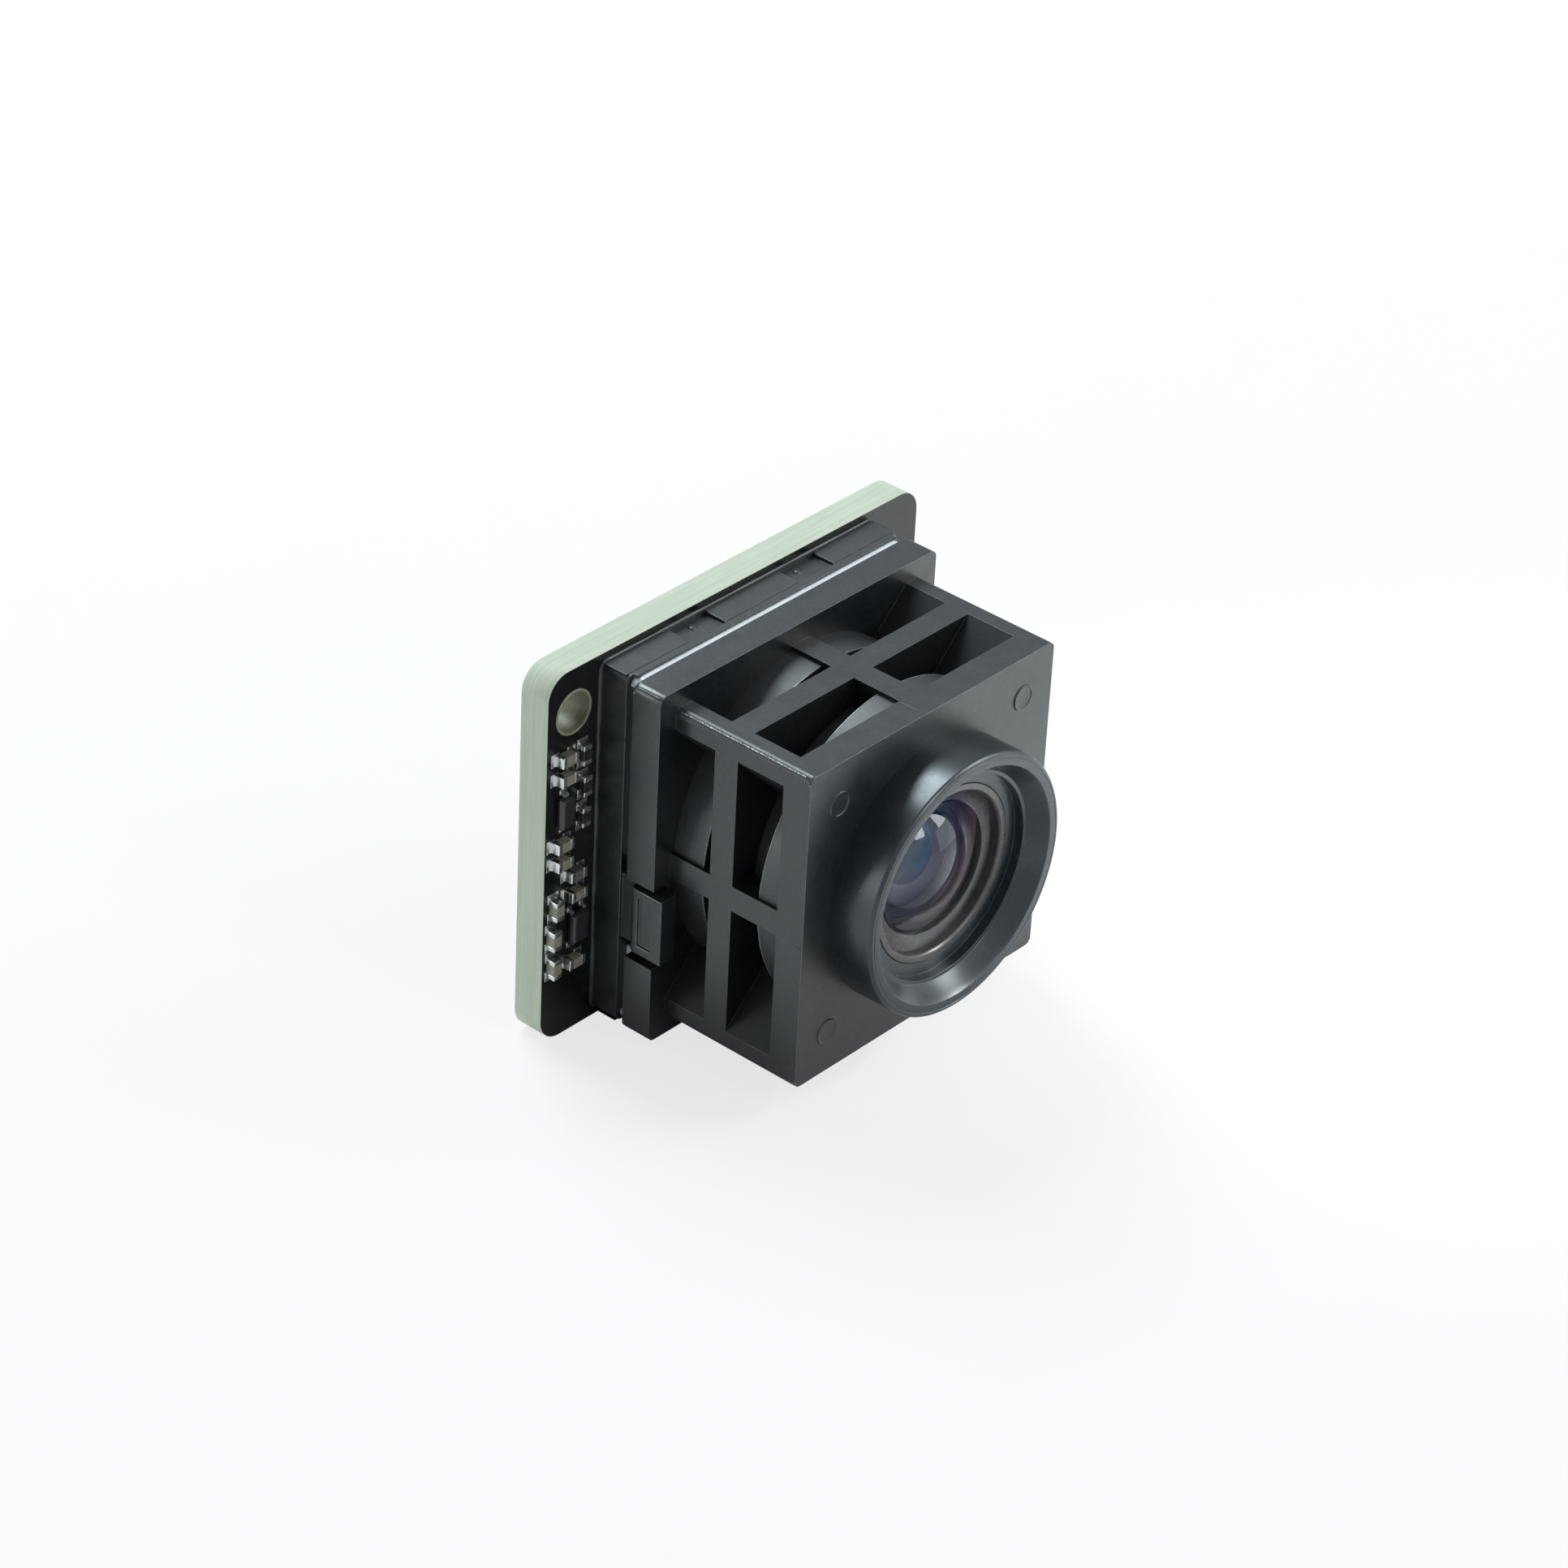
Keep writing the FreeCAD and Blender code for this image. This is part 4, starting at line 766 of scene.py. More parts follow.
housing_extras = collar_sleeves + collar_highlight_rings + pin_marks + insert_lines + flash_lines
moulded_copy("lens_housing_moulding", "lens_housing",
             [housing_black, housing_edge_wear_highlight, collar_black, bay_painted_shade],
             housing_rounds, rim_round, 3, housing_rims, housing_extras, paint_bay_shade, 1)

# %% [markdown]
# ## The sensor holder
# It carries the edge pads and the two snap hooks. In front of the pads a fine groove marks off a lip. The
# groove is made by laying thin plates on the pads and the lip and leaving a gap between them. Each recess
# between pads has the little dot of an ejector pin.

# %% Sensor holder
pad_spans = [(-8.72, -4.72), (-2.38, 2.38), (4.72, 8.72)]
pad_place, pad_half, pad_rise = -2.37, 0.655, 0.028
lip_place, lip_half, lip_rise, lip_reach = -3.225, 0.165, 0.024, 8.36
dot_place, dot_depth = -2.15, 0.2
hook_eased, hook_full, hook_front = 9.1, 9.2, -5.9
holder_round, hook_round = 0.035, 0.06
pad_plates = []
for side in (-1, 1):
    for left, right_end in pad_spans:
        pad_plates.append(rounded_block(((left + right_end) / 2, pad_place, side * holder_top),
                                        ((right_end - left) / 2, pad_half, pad_rise), 0.02))
    pad_plates.append(rounded_block((0, lip_place, side * holder_top),
                                    (lip_reach, lip_half, lip_rise), 0.02))
dot_profile = eased([(0, 0.05, 0), (0, -0.09, 0), (0.12, -0.09, 0.05), (0.22, 0.0, 0.05), (0.22, 0.05, 0)],
                    closed=False)


def upright_dot(x, y, z, side):
    """A small dome on a face that looks up or down: the turned dot with its axis laid along Z."""
    points, faces, slot = turned_surface(dot_profile, 0.0, False, 28)
    return np.stack([x + points[:, 0], y + points[:, 2], z - side * points[:, 1]], axis=-1), faces, slot


pin_dots = [upright_dot(x, dot_place, side * (holder_top - dot_depth), side)
            for x in (-3.6, 3.2) for side in (-1, 1)]


def holder_rims(points):
    """Squares the small eased edges at the front of the hooks' heads."""
    moved = points.copy()
    on_edge = (np.abs(np.abs(points[:, 0]) - hook_eased) < touching) & (points[:, 1] < hook_front)
    moved[on_edge, 0] = np.sign(points[on_edge, 0]) * hook_full
    return moved


def holder_rounds(middle):
    """Rounds for the holder: larger on the hooks' heads."""
    return np.where(np.abs(middle[:, 0]) > 9.02, hook_round, holder_round)


moulded_copy("sensor_holder_moulding", "sensor_holder", [holder_black, holder_edge_wear_highlight],
             holder_rounds, hook_round, 3, holder_rims, pad_plates + pin_dots, edge_slot=1)

# %% [markdown]
# ## Seal and adhesive
# The seal is squeezed between holder and flange. It swells out at the top and bottom, stays in at the
# sides and has a soft round all the way. The holder's foot stands in a thin bead of adhesive. The bead is
# one quarter-hollow profile carried round the foot's outline, and it wanders in and out by a few
# hundredths of a millimetre, as a dispensed bead does.

# %% Seal and adhesive bead
def squeezed(points):
    """Lets the seal swell out at the top and bottom and draws its sides in, more where it is narrow."""
    swell, shallow, deep = 0.11, 0.32, 0.70
    moved = points.copy()
    level = np.abs(points[:, 2]) > 8.3
    moved[level, 2] += np.sign(points[level, 2]) * swell
    side = (np.abs(points[:, 0]) > 8.0) & ~level
    drawn_in = np.where(np.abs(points[:, 0]) > 8.4, shallow, deep)
    moved[side, 0] -= np.sign(points[side, 0]) * drawn_in[side]
    return moved


def even_rounds(width):
    """A rule that gives every sharp edge the same round."""
    return lambda middle: np.full(len(middle), width)


seal_round = 0.12
moulded_copy("squeezed_seal", "flange_seal", [silicone_and_highlight], even_rounds(seal_round),
             seal_round, 4, squeezed)


def adhesive_bead(half_width, half_height, foot, height):
    """A bead round a rectangle: quarter-hollow section, with its foot's reach waved along the way.

    The reach is foot (1-t)^1.8 and the rise height t^1.3. Two more rows close the bead under the holder."""
    corner, stride, tucked = 0.4, 0.25, -0.3
    outline = rounded_outline(half_width, half_height, corner, 7)
    ahead = np.roll(outline, -1, axis=0)
    pieces = np.maximum((np.linalg.norm(ahead - outline, axis=1) / stride).astype(int), 1)
    line = np.concatenate([np.linspace(a, b, n, endpoint=False) for a, b, n in zip(outline, ahead, pieces)])
    inner = np.array([half_width - corner, half_height - corner])
    outward = line - np.clip(line, -inner, inner)
    outward /= np.linalg.norm(outward, axis=1)[:, None]
    run = np.linspace(0, 2 * np.pi, len(line), endpoint=False)
    wave = 1 + 0.14 * np.sin(17 * run + 1.0) + 0.08 * np.sin(41 * run)
    t = np.linspace(0, 1, 7)
    reach = foot * (1 - t) ** 1.8
    rise = height * t ** 1.3
    reach = np.concatenate([[tucked], reach, [tucked]])
    rise = np.concatenate([[0.0], rise, [height]])
    scale = np.where(reach[:, None] > 0, wave[None, :], 1.0)
    flat = line[None] + outward[None] * (reach[:, None] * scale)[:, :, None]
    lift = rise[:, None] * np.where(reach[:, None] >= 0, 0.5 + 0.5 * wave[None, :], 1.0)
    points = np.stack([flat[:, :, 0], board_front - lift, flat[:, :, 1]], axis=-1)
    return grid_surface(points, wrap_rows=True)


make_piece("adhesive_bead", [adhesive_bead(half_holder, holder_top, 0.10, 0.14)], [bead_grey],
           ("holder_bond",), 60.0)

# %% [markdown]
# ## The board
# The copy of the board has three finishes: mask on its two faces, bare laminate on its cut edge and drilled
# laminate in the screw holes. The mask stops short of a hole, so a narrow rim of bare laminate goes round
# it, a turned ring that also makes the hole look truly round.

# %% Circuit board
def board_paint(mesh):
    """Mask where a face looks along Y, drilled laminate in the screw holes, bare laminate elsewhere."""
    hole_reach = 1.05
    normals = np.zeros(len(mesh.polygons) * 3)
    mesh.polygons.foreach_get("normal", normals)
    facing = np.abs(normals.reshape(-1, 3)[:, 1]) > 0.7
    middles = np.zeros(len(mesh.polygons) * 3)
    mesh.polygons.foreach_get("center", middles)
    middles = middles.reshape(-1, 3) / MM
    near_hole = np.hypot(np.abs(middles[:, 0]) - screw_x, np.abs(middles[:, 2]) - screw_z) < hole_reach
    slots = np.where(facing, 0, np.where(near_hole, 2, 1)).astype(np.int32)
    mesh.polygons.foreach_set("material_index", slots)


board_round = 0.03
moulded_copy("board_with_mask", "circuit_board", [mask_black, laminate, hole_wall],
             even_rounds(board_round), board_round, 2, paint=board_paint)
hole_rim = eased([(0.985, -0.012, 0.008), (1.10, -0.012, 0.01), (1.10, 0.02, 0.0), (0.985, 0.02, 0.0)])
screw_places = [(-screw_x, screw_z), (screw_x, -screw_z)]


def board_rings(profile, segments, front_places, rear_places):
    """A profile turned at places on the board's front, and its mirror at places on the rear."""
    rings = [turned_surface(profile, board_front, True, segments, centre=place) for place in front_places]
    return rings + [turned_surface(profile * [1, -1], 0.0, True, segments, centre=place)
                    for place in rear_places]


make_piece("screw_hole_rims", board_rings(hole_rim, 72, screw_places, screw_places), [hole_edge])

# %% [markdown]
# ## Small parts on the board
# Each chip is a fired body between two tinned ends, and stands on two pads. Solder climbs each end in a
# hollow curve, steep against the end and flat at the pad's edge. The curve is a stack of outlines: the
# outline moves in quickly while it rises slowly, then the other way round.

# %% Helpers: solder and chips
def stacked(outlines, lift, slot=0):
    """A closed surface over a stack of outlines, each at its height, as (along, height, across)."""
    height = np.broadcast_to(lift[:, None], outlines.shape[:2])
    points = np.stack([outlines[:, :, 0], height, outlines[:, :, 1]], axis=-1)
    return grid_surface(points, cap_ends=True, slot=slot)


def solder_climb(foot_middle, foot_half, top_middle, top_half, height):
    """Solder from a pad's outline up to a part's end: outline moves by 1-(1-t)^2.4, height by t^1.8."""
    t = np.linspace(0, 1, 8)
    inward = (1 - (1 - t) ** 2.4)[:, None, None]
    foot = rounded_outline(*foot_half, 0.05, 4) + np.array(foot_middle)
    top = rounded_outline(*top_half, 0.04, 4) + np.array(top_middle)
    return stacked(foot[None] * (1 - inward) + top[None] * inward, height * t ** 1.8, 2)


def pad(along, across, half_length, half_width):
    """A tinned pad that stands a hair proud of the board, drawn as (along, height, across)."""
    return rounded_block((along, 0.008, across), (half_length, 0.012, half_width), 0.01, slot=1)


def stand_on_board(surfaces, middle, along):
    """Carries surfaces drawn as (along, height, across) to their place on the board's front."""
    placed = []
    for points, faces, slot in surfaces:
        run, lift, across = points.T
        x, z = (run, across) if along == "X" else (across, run)
        placed.append((np.stack([middle[0] + x, board_front - lift, middle[1] + z], axis=-1), faces, slot))
    return placed


def soldered_chip(node, body_material):
    """A chip part in place of its node: body, two tinned ends, solder and pads."""
    low, high = limits(node)
    size = high - low
    along = "X" if size[0] > size[2] else "Z"
    half_length = max(size[0], size[2]) / 2
    half_width = min(size[0], size[2]) / 2
    rise = size[1]
    inset = 0.01
    body_half_rise = (rise - 2 * inset) / 2
    end_half, solder_half, pad_half, solder_share = 0.13, 0.21, 0.25, 0.62
    surfaces = [rounded_block((0, inset + body_half_rise, 0),
                              (half_length - 0.16, body_half_rise, half_width - 2 * inset), 0.03)]
    for side in (-1, 1):
        surfaces.append(rounded_block((side * (half_length - end_half), rise / 2, 0),
                                      (end_half, rise / 2, half_width), 0.05, slot=1))
        surfaces.append(solder_climb((side * (half_length - 0.02), 0), (solder_half, half_width + 0.03),
                                     (side * (half_length - 0.125), 0), (end_half, half_width - 0.005),
                                     rise * solder_share))
        surfaces.append(pad(side * (half_length - 0.01), 0, pad_half, half_width + 0.06))
    middle = ((low[0] + high[0]) / 2, (low[2] + high[2]) / 2)
    return make_piece(node + "_soldered", stand_on_board(surfaces, middle, along),
                      [body_material, tin, solder], (node,))


# %% Chip parts
for number in range(1, 10):
    soldered_chip("capacitor_%d" % number, capacitor_tan)
for number in range(1, 4):
    soldered_chip("resistor_%d" % number, resistor_dark)
soldered_chip("ferrite_1", ferrite_grey)

# %% [markdown]
# ## Diode and regulator
# Both are moulded packages. The two halves of the tool meet at the middle of the side, so the side leans
# in above and below that line. The leads are strips bent twice: out of the side, down, and out flat onto
# the pad. A strip is a small rectangle carried along a bent line.

# %% Moulded packages with leads
def moulded_body(half_width, half_length, rise):
    """A package's body: rounded outlines that lean in above and below the parting line."""
    inset = eased([(0.30, 0.04, 0.0), (0.05, 0.04, 0.02), (0.0, rise * 0.5, 0.015),
                   (0.05, rise - 0.07, 0.03), (0.11, rise, 0.04), (0.30, rise, 0.0)], closed=False)
    outlines = [rounded_outline(half_length - step, half_width - step, 0.03, 4) for step in inset[:, 0]]
    return stacked(np.stack(outlines), inset[:, 1])


def bent_lead(across, side, half_length, width):
    """A lead: a thin rectangle carried along a line out of the body's side, down and out."""
    half_thickness = 0.03
    run = half_length + np.array([-0.10, 0.04, 0.09, 0.12, 0.20])
    lift = np.array([0.20, 0.20, 0.15, 0.05, 0.035])
    way = np.gradient(np.stack([run, lift], axis=-1), axis=0)
    way /= np.linalg.norm(way, axis=1)[:, None]
    normal = np.stack([-way[:, 1], way[:, 0]], axis=-1)
    corner = np.array([(-1, -1), (1, -1), (1, 1), (-1, 1)], float) * [width / 2, half_thickness]
    line = np.stack([run, lift], axis=-1)[:, None] + normal[:, None] * corner[None, :, 1:]
    wide = np.broadcast_to(across + corner[:, 0], line.shape[:2])
    points = np.stack([side * line[:, :, 0], line[:, :, 1], wide], axis=-1)
    return grid_surface(points, cap_ends=True, slot=1)


def leaded_package(node, leads, lead_width):
    """A small package with leads at its two ends, standing for its node. A lead is (across, side)."""
    low, high = limits(node)
    middle = ((low[0] + high[0]) / 2, (low[2] + high[2]) / 2)
    half_width = (high[0] - low[0]) / 2
    lead_reach, lead_half = 0.2, lead_width / 2
    half_length = (high[2] - low[2]) / 2 - lead_reach
    surfaces = [moulded_body(half_width, half_length, high[1] - low[1])]
    for across, side in leads:
        surfaces.append(bent_lead(across, side, half_length, lead_width))
        surfaces.append(pad(side * (half_length + 0.16), across, 0.17, lead_half + 0.04))
        surfaces.append(solder_climb((side * (half_length + 0.17), across), (0.14, lead_half + 0.02),
                                     (side * (half_length + 0.15), across), (0.06, lead_half - 0.01), 0.07))
    return make_piece(node + "_soldered", stand_on_board(surfaces, middle, "Z"), [epoxy_black, tin, solder],
                      (node,))


leaded_package("diode", [(0, 1), (0, -1)], 0.35)
leaded_package("regulator", [(-0.37, 1), (0.37, 1), (-0.37, -1), (0, -1), (0.37, -1)], 0.2)

# %% [markdown]
# ## Vias, pads and the rear connector
# Plated holes join the copper of the board's two sides. Each shows as a tiny ring. Behind the board the
# connector's feet stand on two rows of tinned pads. The connector is a crisp little moulding, and its
# springs are stamped from sheet and gold-plated.

# %% Rear of the board
via_profile = eased([(0.09, 0.02, 0.0), (0.10, -0.01, 0.01), (0.20, -0.01, 0.01), (0.22, 0.02, 0.0)])
via_places = [(-10.95, 3.9), (-9.35, 6.25), (-9.15, -7.9), (-10.2, -7.7), (-11.4, -7.2), (-9.3, 0.3),
              (-11.35, 0.35)]
rear_places = [(-8.2, 5.0), (-6.4, 6.1), (-3.1, 4.2), (-1.2, 5.6), (2.0, 4.6), (4.4, 6.3), (7.3, 4.8),
               (8.8, 2.2), (-7.9, -2.4), (-5.2, -4.4), (-2.4, -5.6), (0.8, -4.2), (3.5, -5.3), (6.2, -3.6),
               (8.1, -6.1), (-9.4, 0.9)]
vias = board_rings(via_profile, 20, via_places, via_places + rear_places)
make_piece("plated_vias", vias, [mask_black])
pitch, first_pad, pads_in_row, row_offset, anchor_offset = 0.5, -3.25, 14, 1.86, 4.75
pad_blocks = [rounded_block((first_pad + pitch * n, 0.005, side * row_offset), (0.15, 0.012, 0.30), 0.01)
              for n in range(pads_in_row) for side in (-1, 1)]
pad_blocks += [rounded_block((side * anchor_offset, 0.005, 0), (0.35, 0.012, 0.75), 0.01)
               for side in (-1, 1)]
make_piece("connector_pads", pad_blocks, [tin])
shell_round, spring_round = 0.04, 0.02
moulded_copy("connector_moulding", "connector_shell", [connector_black],
             even_rounds(shell_round), shell_round, 2)
moulded_copy("connector_springs", "connector_contacts", [gold], even_rounds(spring_round),
             spring_round, 2)

# %% [markdown]
# ## The lens barrel
# The head of the barrel is a shallow hood: an outer wall, a narrow rim, a cone down to a small ledge and a
# dark floor in which the glass sits. All of it is one turned profile. The steps are where a mould insert
# meets the next, so each has its own tiny round, and a fine groove runs round the rim near its outer edge.

# %% Lens barrel
barrel_depth = limits("lens_barrel")[1][1] - rim_front
bore_end = barrel_depth - 0.8
hood_radius, tube_radius, bore_radius, rear_opening = 6.3, 5.0, 4.3, 3.1
ledge_radius, hood_depth, ledge_depth, floor_depth = 4.91, 2.35, 0.88, 1.36
barrel_profile = eased([
    (5.68, 0.0, 0.03), (6.02, 0.0, 0.012), (6.035, 0.018, 0.008), (6.065, 0.018, 0.008), (6.08, 0.0, 0.012),
    (6.18, 0.0, 0.05), (hood_radius, 0.12, 0.05), (hood_radius, hood_depth, 0.0),
    (tube_radius, hood_depth, 0.0), (tube_radius, barrel_depth, 0.1), (rear_opening, barrel_depth, 0.05),
    (rear_opening, bore_end, 0.05), (bore_radius, bore_end, 0.0), (bore_radius, floor_depth, 0.02),
    (ledge_radius, floor_depth, 0.03), (ledge_radius, ledge_depth, 0.03), (5.08, ledge_depth, 0.03),
    (5.55, 0.18, 0.08),
], steps=6)
make_piece("lens_barrel_turned", [turned_surface(barrel_profile, rim_front, segments=256)],
           [hood_black], ("lens_barrel",))

# %% [markdown]
# ## The glasses and what holds them
# The retaining ring is a flat turned ring. The front lens is a meniscus: domed in front and hollow behind,
# with a flat rim. A bevel runs between the polished face and the rim, ground rather than polished. The
# second and rear lenses are domed in front and flat behind. The spacers are black. The stop is a mid grey,
# which paints the grey reflection seen through the lenses. A spacer's bore narrows in fine steps.

# %% Retaining ring and front lens
fine_segments = 256
glass_bend = 20.0  # faces of a glass or ring that meet at more degrees have a hard edge
ring_front = limits("retaining_ring")[0][1]
ring_profile = eased([(seat_radius, 0, 0.03), (seat_radius, 0.45, 0.0), (3.9, 0.45, 0.0), (3.9, 0.10, 0.03),
                      (3.98, 0, 0.03)], steps=6)
make_piece("retaining_ring_turned", [turned_surface(ring_profile, ring_front, segments=fine_segments)],
           [ring_black], ("retaining_ring",))

lens_edge, cap_rows, rim_rows = 0.7, 40, 5
dome = cap_curve(3.85, 0.7, cap_rows)
hollow = cap_curve(3.0, 1.0, cap_rows)[::-1] + [0, lens_edge]
rim = [(3.88, 0.02), (4.25, 0.02), (seat_radius, 0.05), (seat_radius, 0.68), (4.24, lens_edge),
       (3.06, lens_edge)]
front_profile = np.concatenate([dome, rim, hollow])
lens_points, lens_faces, _ = turned_surface(front_profile, limits("front_lens")[1][1] - lens_edge, False,
                                            fine_segments)
rows = np.arange(len(front_profile) - 1)
row_slots = np.select([rows < cap_rows, rows < cap_rows + rim_rows], [0, 1], 2)
make_piece("front_lens_ground", [(lens_points, lens_faces, np.repeat(row_slots, fine_segments).tolist())],
           [front_glass, ground_rim, hollow_glass], ("front_lens",), glass_bend)


# %% Inner lenses, spacers and stop
def plano_lens(name, node, optic_radius, height, edge):
    """A lens domed in front and flat behind, ground to the bore at its rim."""
    face = cap_curve(optic_radius, height, 36)
    rim = [(4.25, 0.0), (seat_radius, 0.03), (seat_radius, edge - 0.03), (4.25, edge), (0.0, edge)]
    front = limits(node)[1][1] - edge
    make_piece(name, [turned_surface(np.concatenate([face, rim]), front, False)], [inner_glass], (node,),
               glass_bend)


plano_lens("second_lens_ground", "second_lens", 2.4, 0.6, 1.2)
plano_lens("rear_lens_ground", "rear_lens", 3.0, 0.6, 1.4)


def ring_between(name, node, front_mouth, rear_mouth, material):
    """A ring whose bore leans from one radius to another, with fine steps that stop stray light.

    It keeps clear of the glasses on both sides by a hair, so that glass and ring don't share a plane. A
    thin ring's bore has no steps."""
    clear = 0.015
    low, high = limits(node)
    depth = high[1] - low[1]
    steps = np.linspace(0, 1, 9)
    bore = front_mouth + (rear_mouth - front_mouth) * steps
    teeth = np.stack([np.repeat(bore, 2)[:-1], np.repeat(depth * steps, 2)[1:]], axis=-1)
    if depth < 0.3:
        teeth = np.array([(front_mouth, 0.0), (rear_mouth, depth)])
    outside = [(seat_radius, depth), (seat_radius, 0.0)]
    profile = np.concatenate([teeth, outside]) * [1, (depth - 2 * clear) / depth]
    make_piece(name, [turned_surface(profile, low[1] + clear, segments=192)], [material], (node,),
               glass_bend)


ring_between("front_spacer_stepped", "front_spacer", 3.1, 2.5, spacer_dark)
ring_between("rear_spacer_stepped", "rear_spacer", 3.1, 3.08, spacer_dark)
ring_between("aperture_stop_disc", "aperture_stop", 1.3, 1.32, stop_grey_reflection)

# %% [markdown]
# ## Parts that keep their solid
# The filter, the image sensor and its lid are plain flat plates deep in the module. Their solids are right
# as they are, so they only get their materials.

# %% Materials on the frame's own nodes
for node, material in [("infrared_filter", filter_glass), ("sensor_package", package_ceramic),
                       ("sensor_die", silicon), ("sensor_cover_glass", cover_glass)]:
    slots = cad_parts[node].data.materials
    slots.clear()
    slots.append(material)
    print(node, "has", material.name)

# %% [markdown]
# ## Camera
# The picture was taken from the front, left and above with a long lens. The place, turn and focal length
# come from the photographed corners of the front plate, flange and board, fitted to the known sizes. The
# place is counted in widths of the front plate, from the plate's middle.

# %% Camera
azimuth, elevation, roll = math.radians(-49.80), math.radians(32.93), math.radians(2.993)
away = Vector((math.sin(azimuth) * math.cos(elevation), -math.cos(azimuth) * math.cos(elevation),
               math.sin(elevation)))
level = (-away).cross(Vector((0, 0, 1))).normalized()
upright = level.cross(-away)
right = math.cos(roll) * level + math.sin(roll) * upright
up = -math.sin(roll) * level + math.cos(roll) * upright
steps_away, steps_right, steps_up = 15.212, -0.3829, 0.2184
offset = plate_width * MM * (away * steps_away + right * steps_right + up * steps_up)
place = offset + Vector((0, plate_front * MM, 0))
camera_data = bpy.data.cameras.new("photo_camera")
camera_data.sensor_width = 36.0
camera_data.lens = 128.5
camera_data.clip_start = 0.01
camera_data.clip_end = 20.0
camera = in_scene("photo_camera", camera_data)
turn = Matrix((right, up, away)).transposed().to_4x4()
camera.matrix_world = Matrix.Translation(place) @ turn
bpy.context.scene.camera = camera
print("camera at", [round(value / MM, 1) for value in place], "mm")

# %% [markdown]
# ## Floor and light
# A pale floor touches the lowest edge and keeps a soft shadow. A large soft lamp above and behind lights
# the top faces, and weaker ones at the left, the right and in front draw the other edges, all at a level
# where a colour renders about as it is written. A small spot lights the floor ahead of the camera module
# at the right: the front plate mirrors that place, and so it grows brighter to the right, as in the
# picture. For the camera the surroundings are plain white, and the floor turns to plain white further from
# the camera module. What shines or lets light through meets a dimmer, slightly blue white there, and rough
# faces get a weak soft light from it.

# %% Floor and world
def seen_directly(tree, *rays):
    """A factor of one for the named kinds of ray, and of nought for the others."""
    path = tree.nodes.new("ShaderNodeLightPath")
    factor = path.outputs[rays[0]]
    for ray in rays[1:]:
        larger = tree.nodes.new("ShaderNodeMath")
        larger.operation = "MAXIMUM"
        tree.links.new(factor, larger.inputs[0])
        tree.links.new(path.outputs[ray], larger.inputs[1])
        factor = larger.outputs[0]
    return factor


floor_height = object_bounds()[0][2]
reach = 1.5
floor_mesh = bpy.data.meshes.new("floor")
floor_mesh.from_pydata([(-reach, -reach, floor_height), (reach, -reach, floor_height),
                        (reach, reach, floor_height), (-reach, reach, floor_height)], [], [(0, 1, 2, 3)])
floor = in_scene("floor", floor_mesh)
floor_white, tree, shader = fresh("floor_white")
shader.inputs["Roughness"].default_value = 0.9
tree.links.new(tint(tree, noise(tree, 300.0, 2.0), (0.86, 0.86, 0.86), (0.88, 0.88, 0.88)),
               shader.inputs["Base Color"])
glow = tree.nodes.new("ShaderNodeEmission")
glow.inputs["Strength"].default_value = 1.0
distance = tree.nodes.new("ShaderNodeVectorMath")
distance.operation = "LENGTH"
tree.links.new(tree.nodes.new("ShaderNodeTexCoord").outputs["Object"], distance.inputs[0])
share = tree.nodes.new("ShaderNodeMath")
share.operation = "MULTIPLY"
near, far = 0.04, 0.16
tree.links.new(spread(tree, distance.outputs["Value"], 0.75, 1.0, near, far), share.inputs[1])
tree.links.new(seen_directly(tree, "Is Camera Ray"), share.inputs[0])
surface = mixed(tree, share.outputs[0], shader.outputs[0], glow.outputs[0])
tree.links.new(surface, tree.nodes["Material Output"].inputs["Surface"])
floor_mesh.materials.append(floor_white)

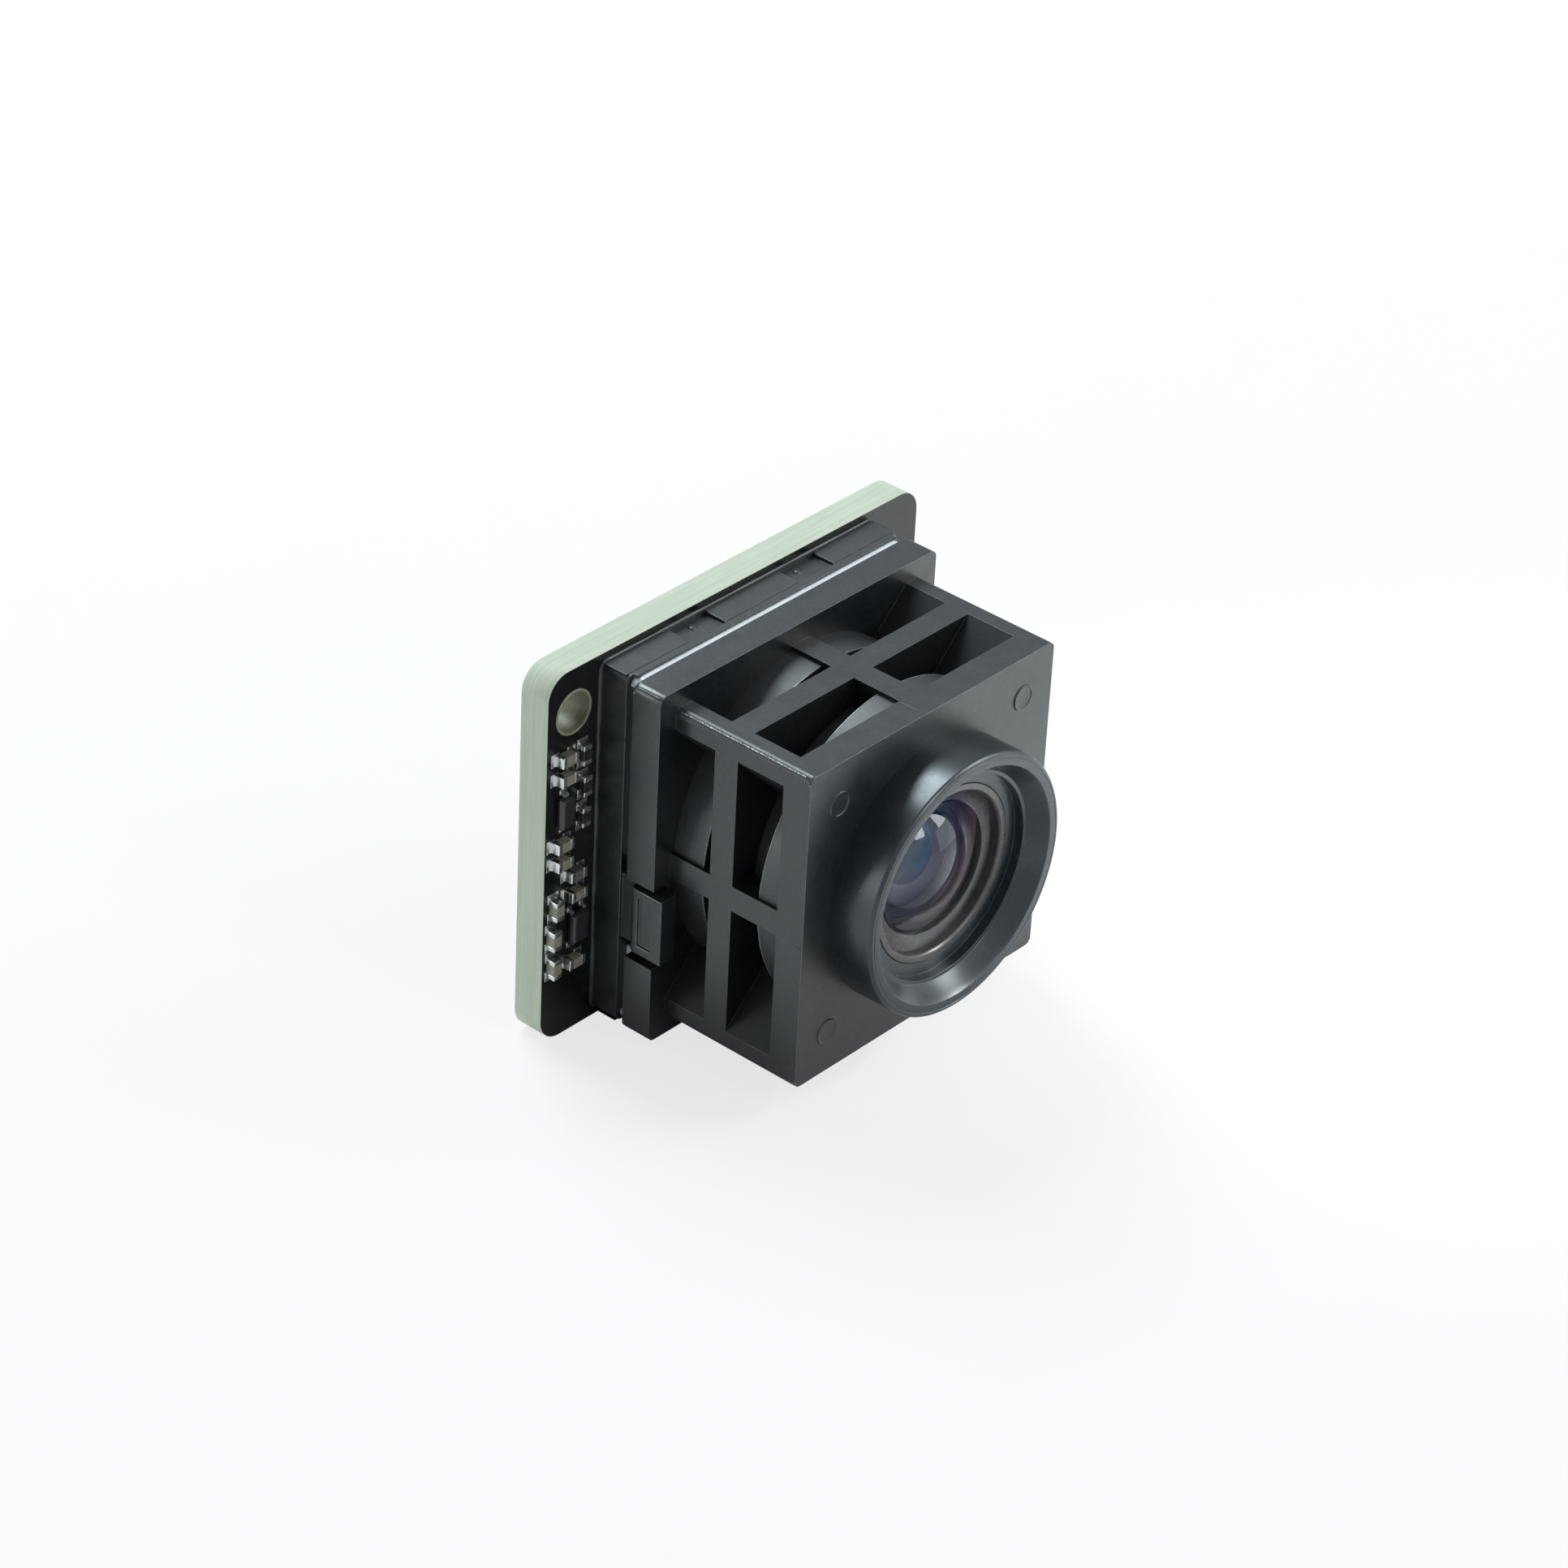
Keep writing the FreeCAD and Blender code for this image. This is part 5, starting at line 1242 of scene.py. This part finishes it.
world = bpy.data.worlds.new("studio")
bpy.context.scene.world = world
world.use_nodes = True
tree = world.node_tree
soft = tree.nodes["Background"]
white = tree.nodes.new("ShaderNodeBackground")
mirrored = tree.nodes.new("ShaderNodeBackground")
for background, colour, strength in [(soft, (0.92, 0.96, 1.0), 0.19), (white, (1, 1, 1), 1.0),
                                     (mirrored, (0.86, 0.95, 1.0), 0.6)]:
    background.inputs["Color"].default_value = (*colour, 1)
    background.inputs["Strength"].default_value = strength
bent_ray = seen_directly(tree, "Is Glossy Ray", "Is Transmission Ray")
indirect = mixed(tree, bent_ray, soft.outputs[0], mirrored.outputs[0])
surroundings = mixed(tree, seen_directly(tree, "Is Camera Ray"), indirect, white.outputs[0])
tree.links.new(surroundings, tree.nodes["World Output"].inputs["Surface"])
print("floor at", round(floor_height / MM, 2), "mm")


# %% Lamps
def lamp(name, direction, distance, width, power, colour):
    """A soft square lamp at a distance along a direction, facing the housing, in millimetres and watts."""
    data = bpy.data.lights.new(name, "AREA")
    data.shape = "SQUARE"
    data.size = width * MM
    data.energy = power
    data.color = colour
    thing = in_scene(name, data)
    away = Vector(direction).normalized()
    thing.location = (Vector((0, -6, 0)) + away * distance) * MM
    thing.rotation_euler = away.to_track_quat("Z", "Y").to_euler()
    print(name, [round(value / MM) for value in thing.location], "mm,", power, "W")


lamp("top_lamp", (0.12, 0.60, 0.79), 320, 160, 0.92, (0.86, 0.97, 1.0))
lamp("right_lamp", (0.68, -0.52, 0.58), 300, 110, 0.22, (0.97, 1.0, 1.0))
lamp("low_lamp", (0.80, -0.58, 0.06), 260, 200, 0.14, (1.0, 1.0, 0.98))
lamp("left_lamp", (-0.74, 0.62, 0.12), 300, 120, 0.22, (0.97, 1.0, 1.0))
lamp("front_lamp", (0.10, -0.82, 0.56), 320, 80, 0.15, (1.0, 1.0, 0.99))
pool_data = bpy.data.lights.new("floor_pool", "SPOT")
pool_data.energy = 13.0
pool_data.spot_size = math.radians(6.0)
pool_data.spot_blend = 1.0
pool_data.shadow_soft_size = 0.02
pool = in_scene("floor_pool", pool_data)
pool_middle, pool_distance = Vector((31, -29, -9.45)) * MM, 0.3
pool_way = Vector((0.62, -0.50, 0.60)).normalized()
pool.location = pool_middle + pool_way * pool_distance
pool.rotation_euler = pool_way.to_track_quat("Z", "Y").to_euler()
print("floor_pool", [round(value / MM) for value in pool.location], "mm,", pool_data.energy, "W")
bpy.context.scene.view_settings.view_transform = "Standard"
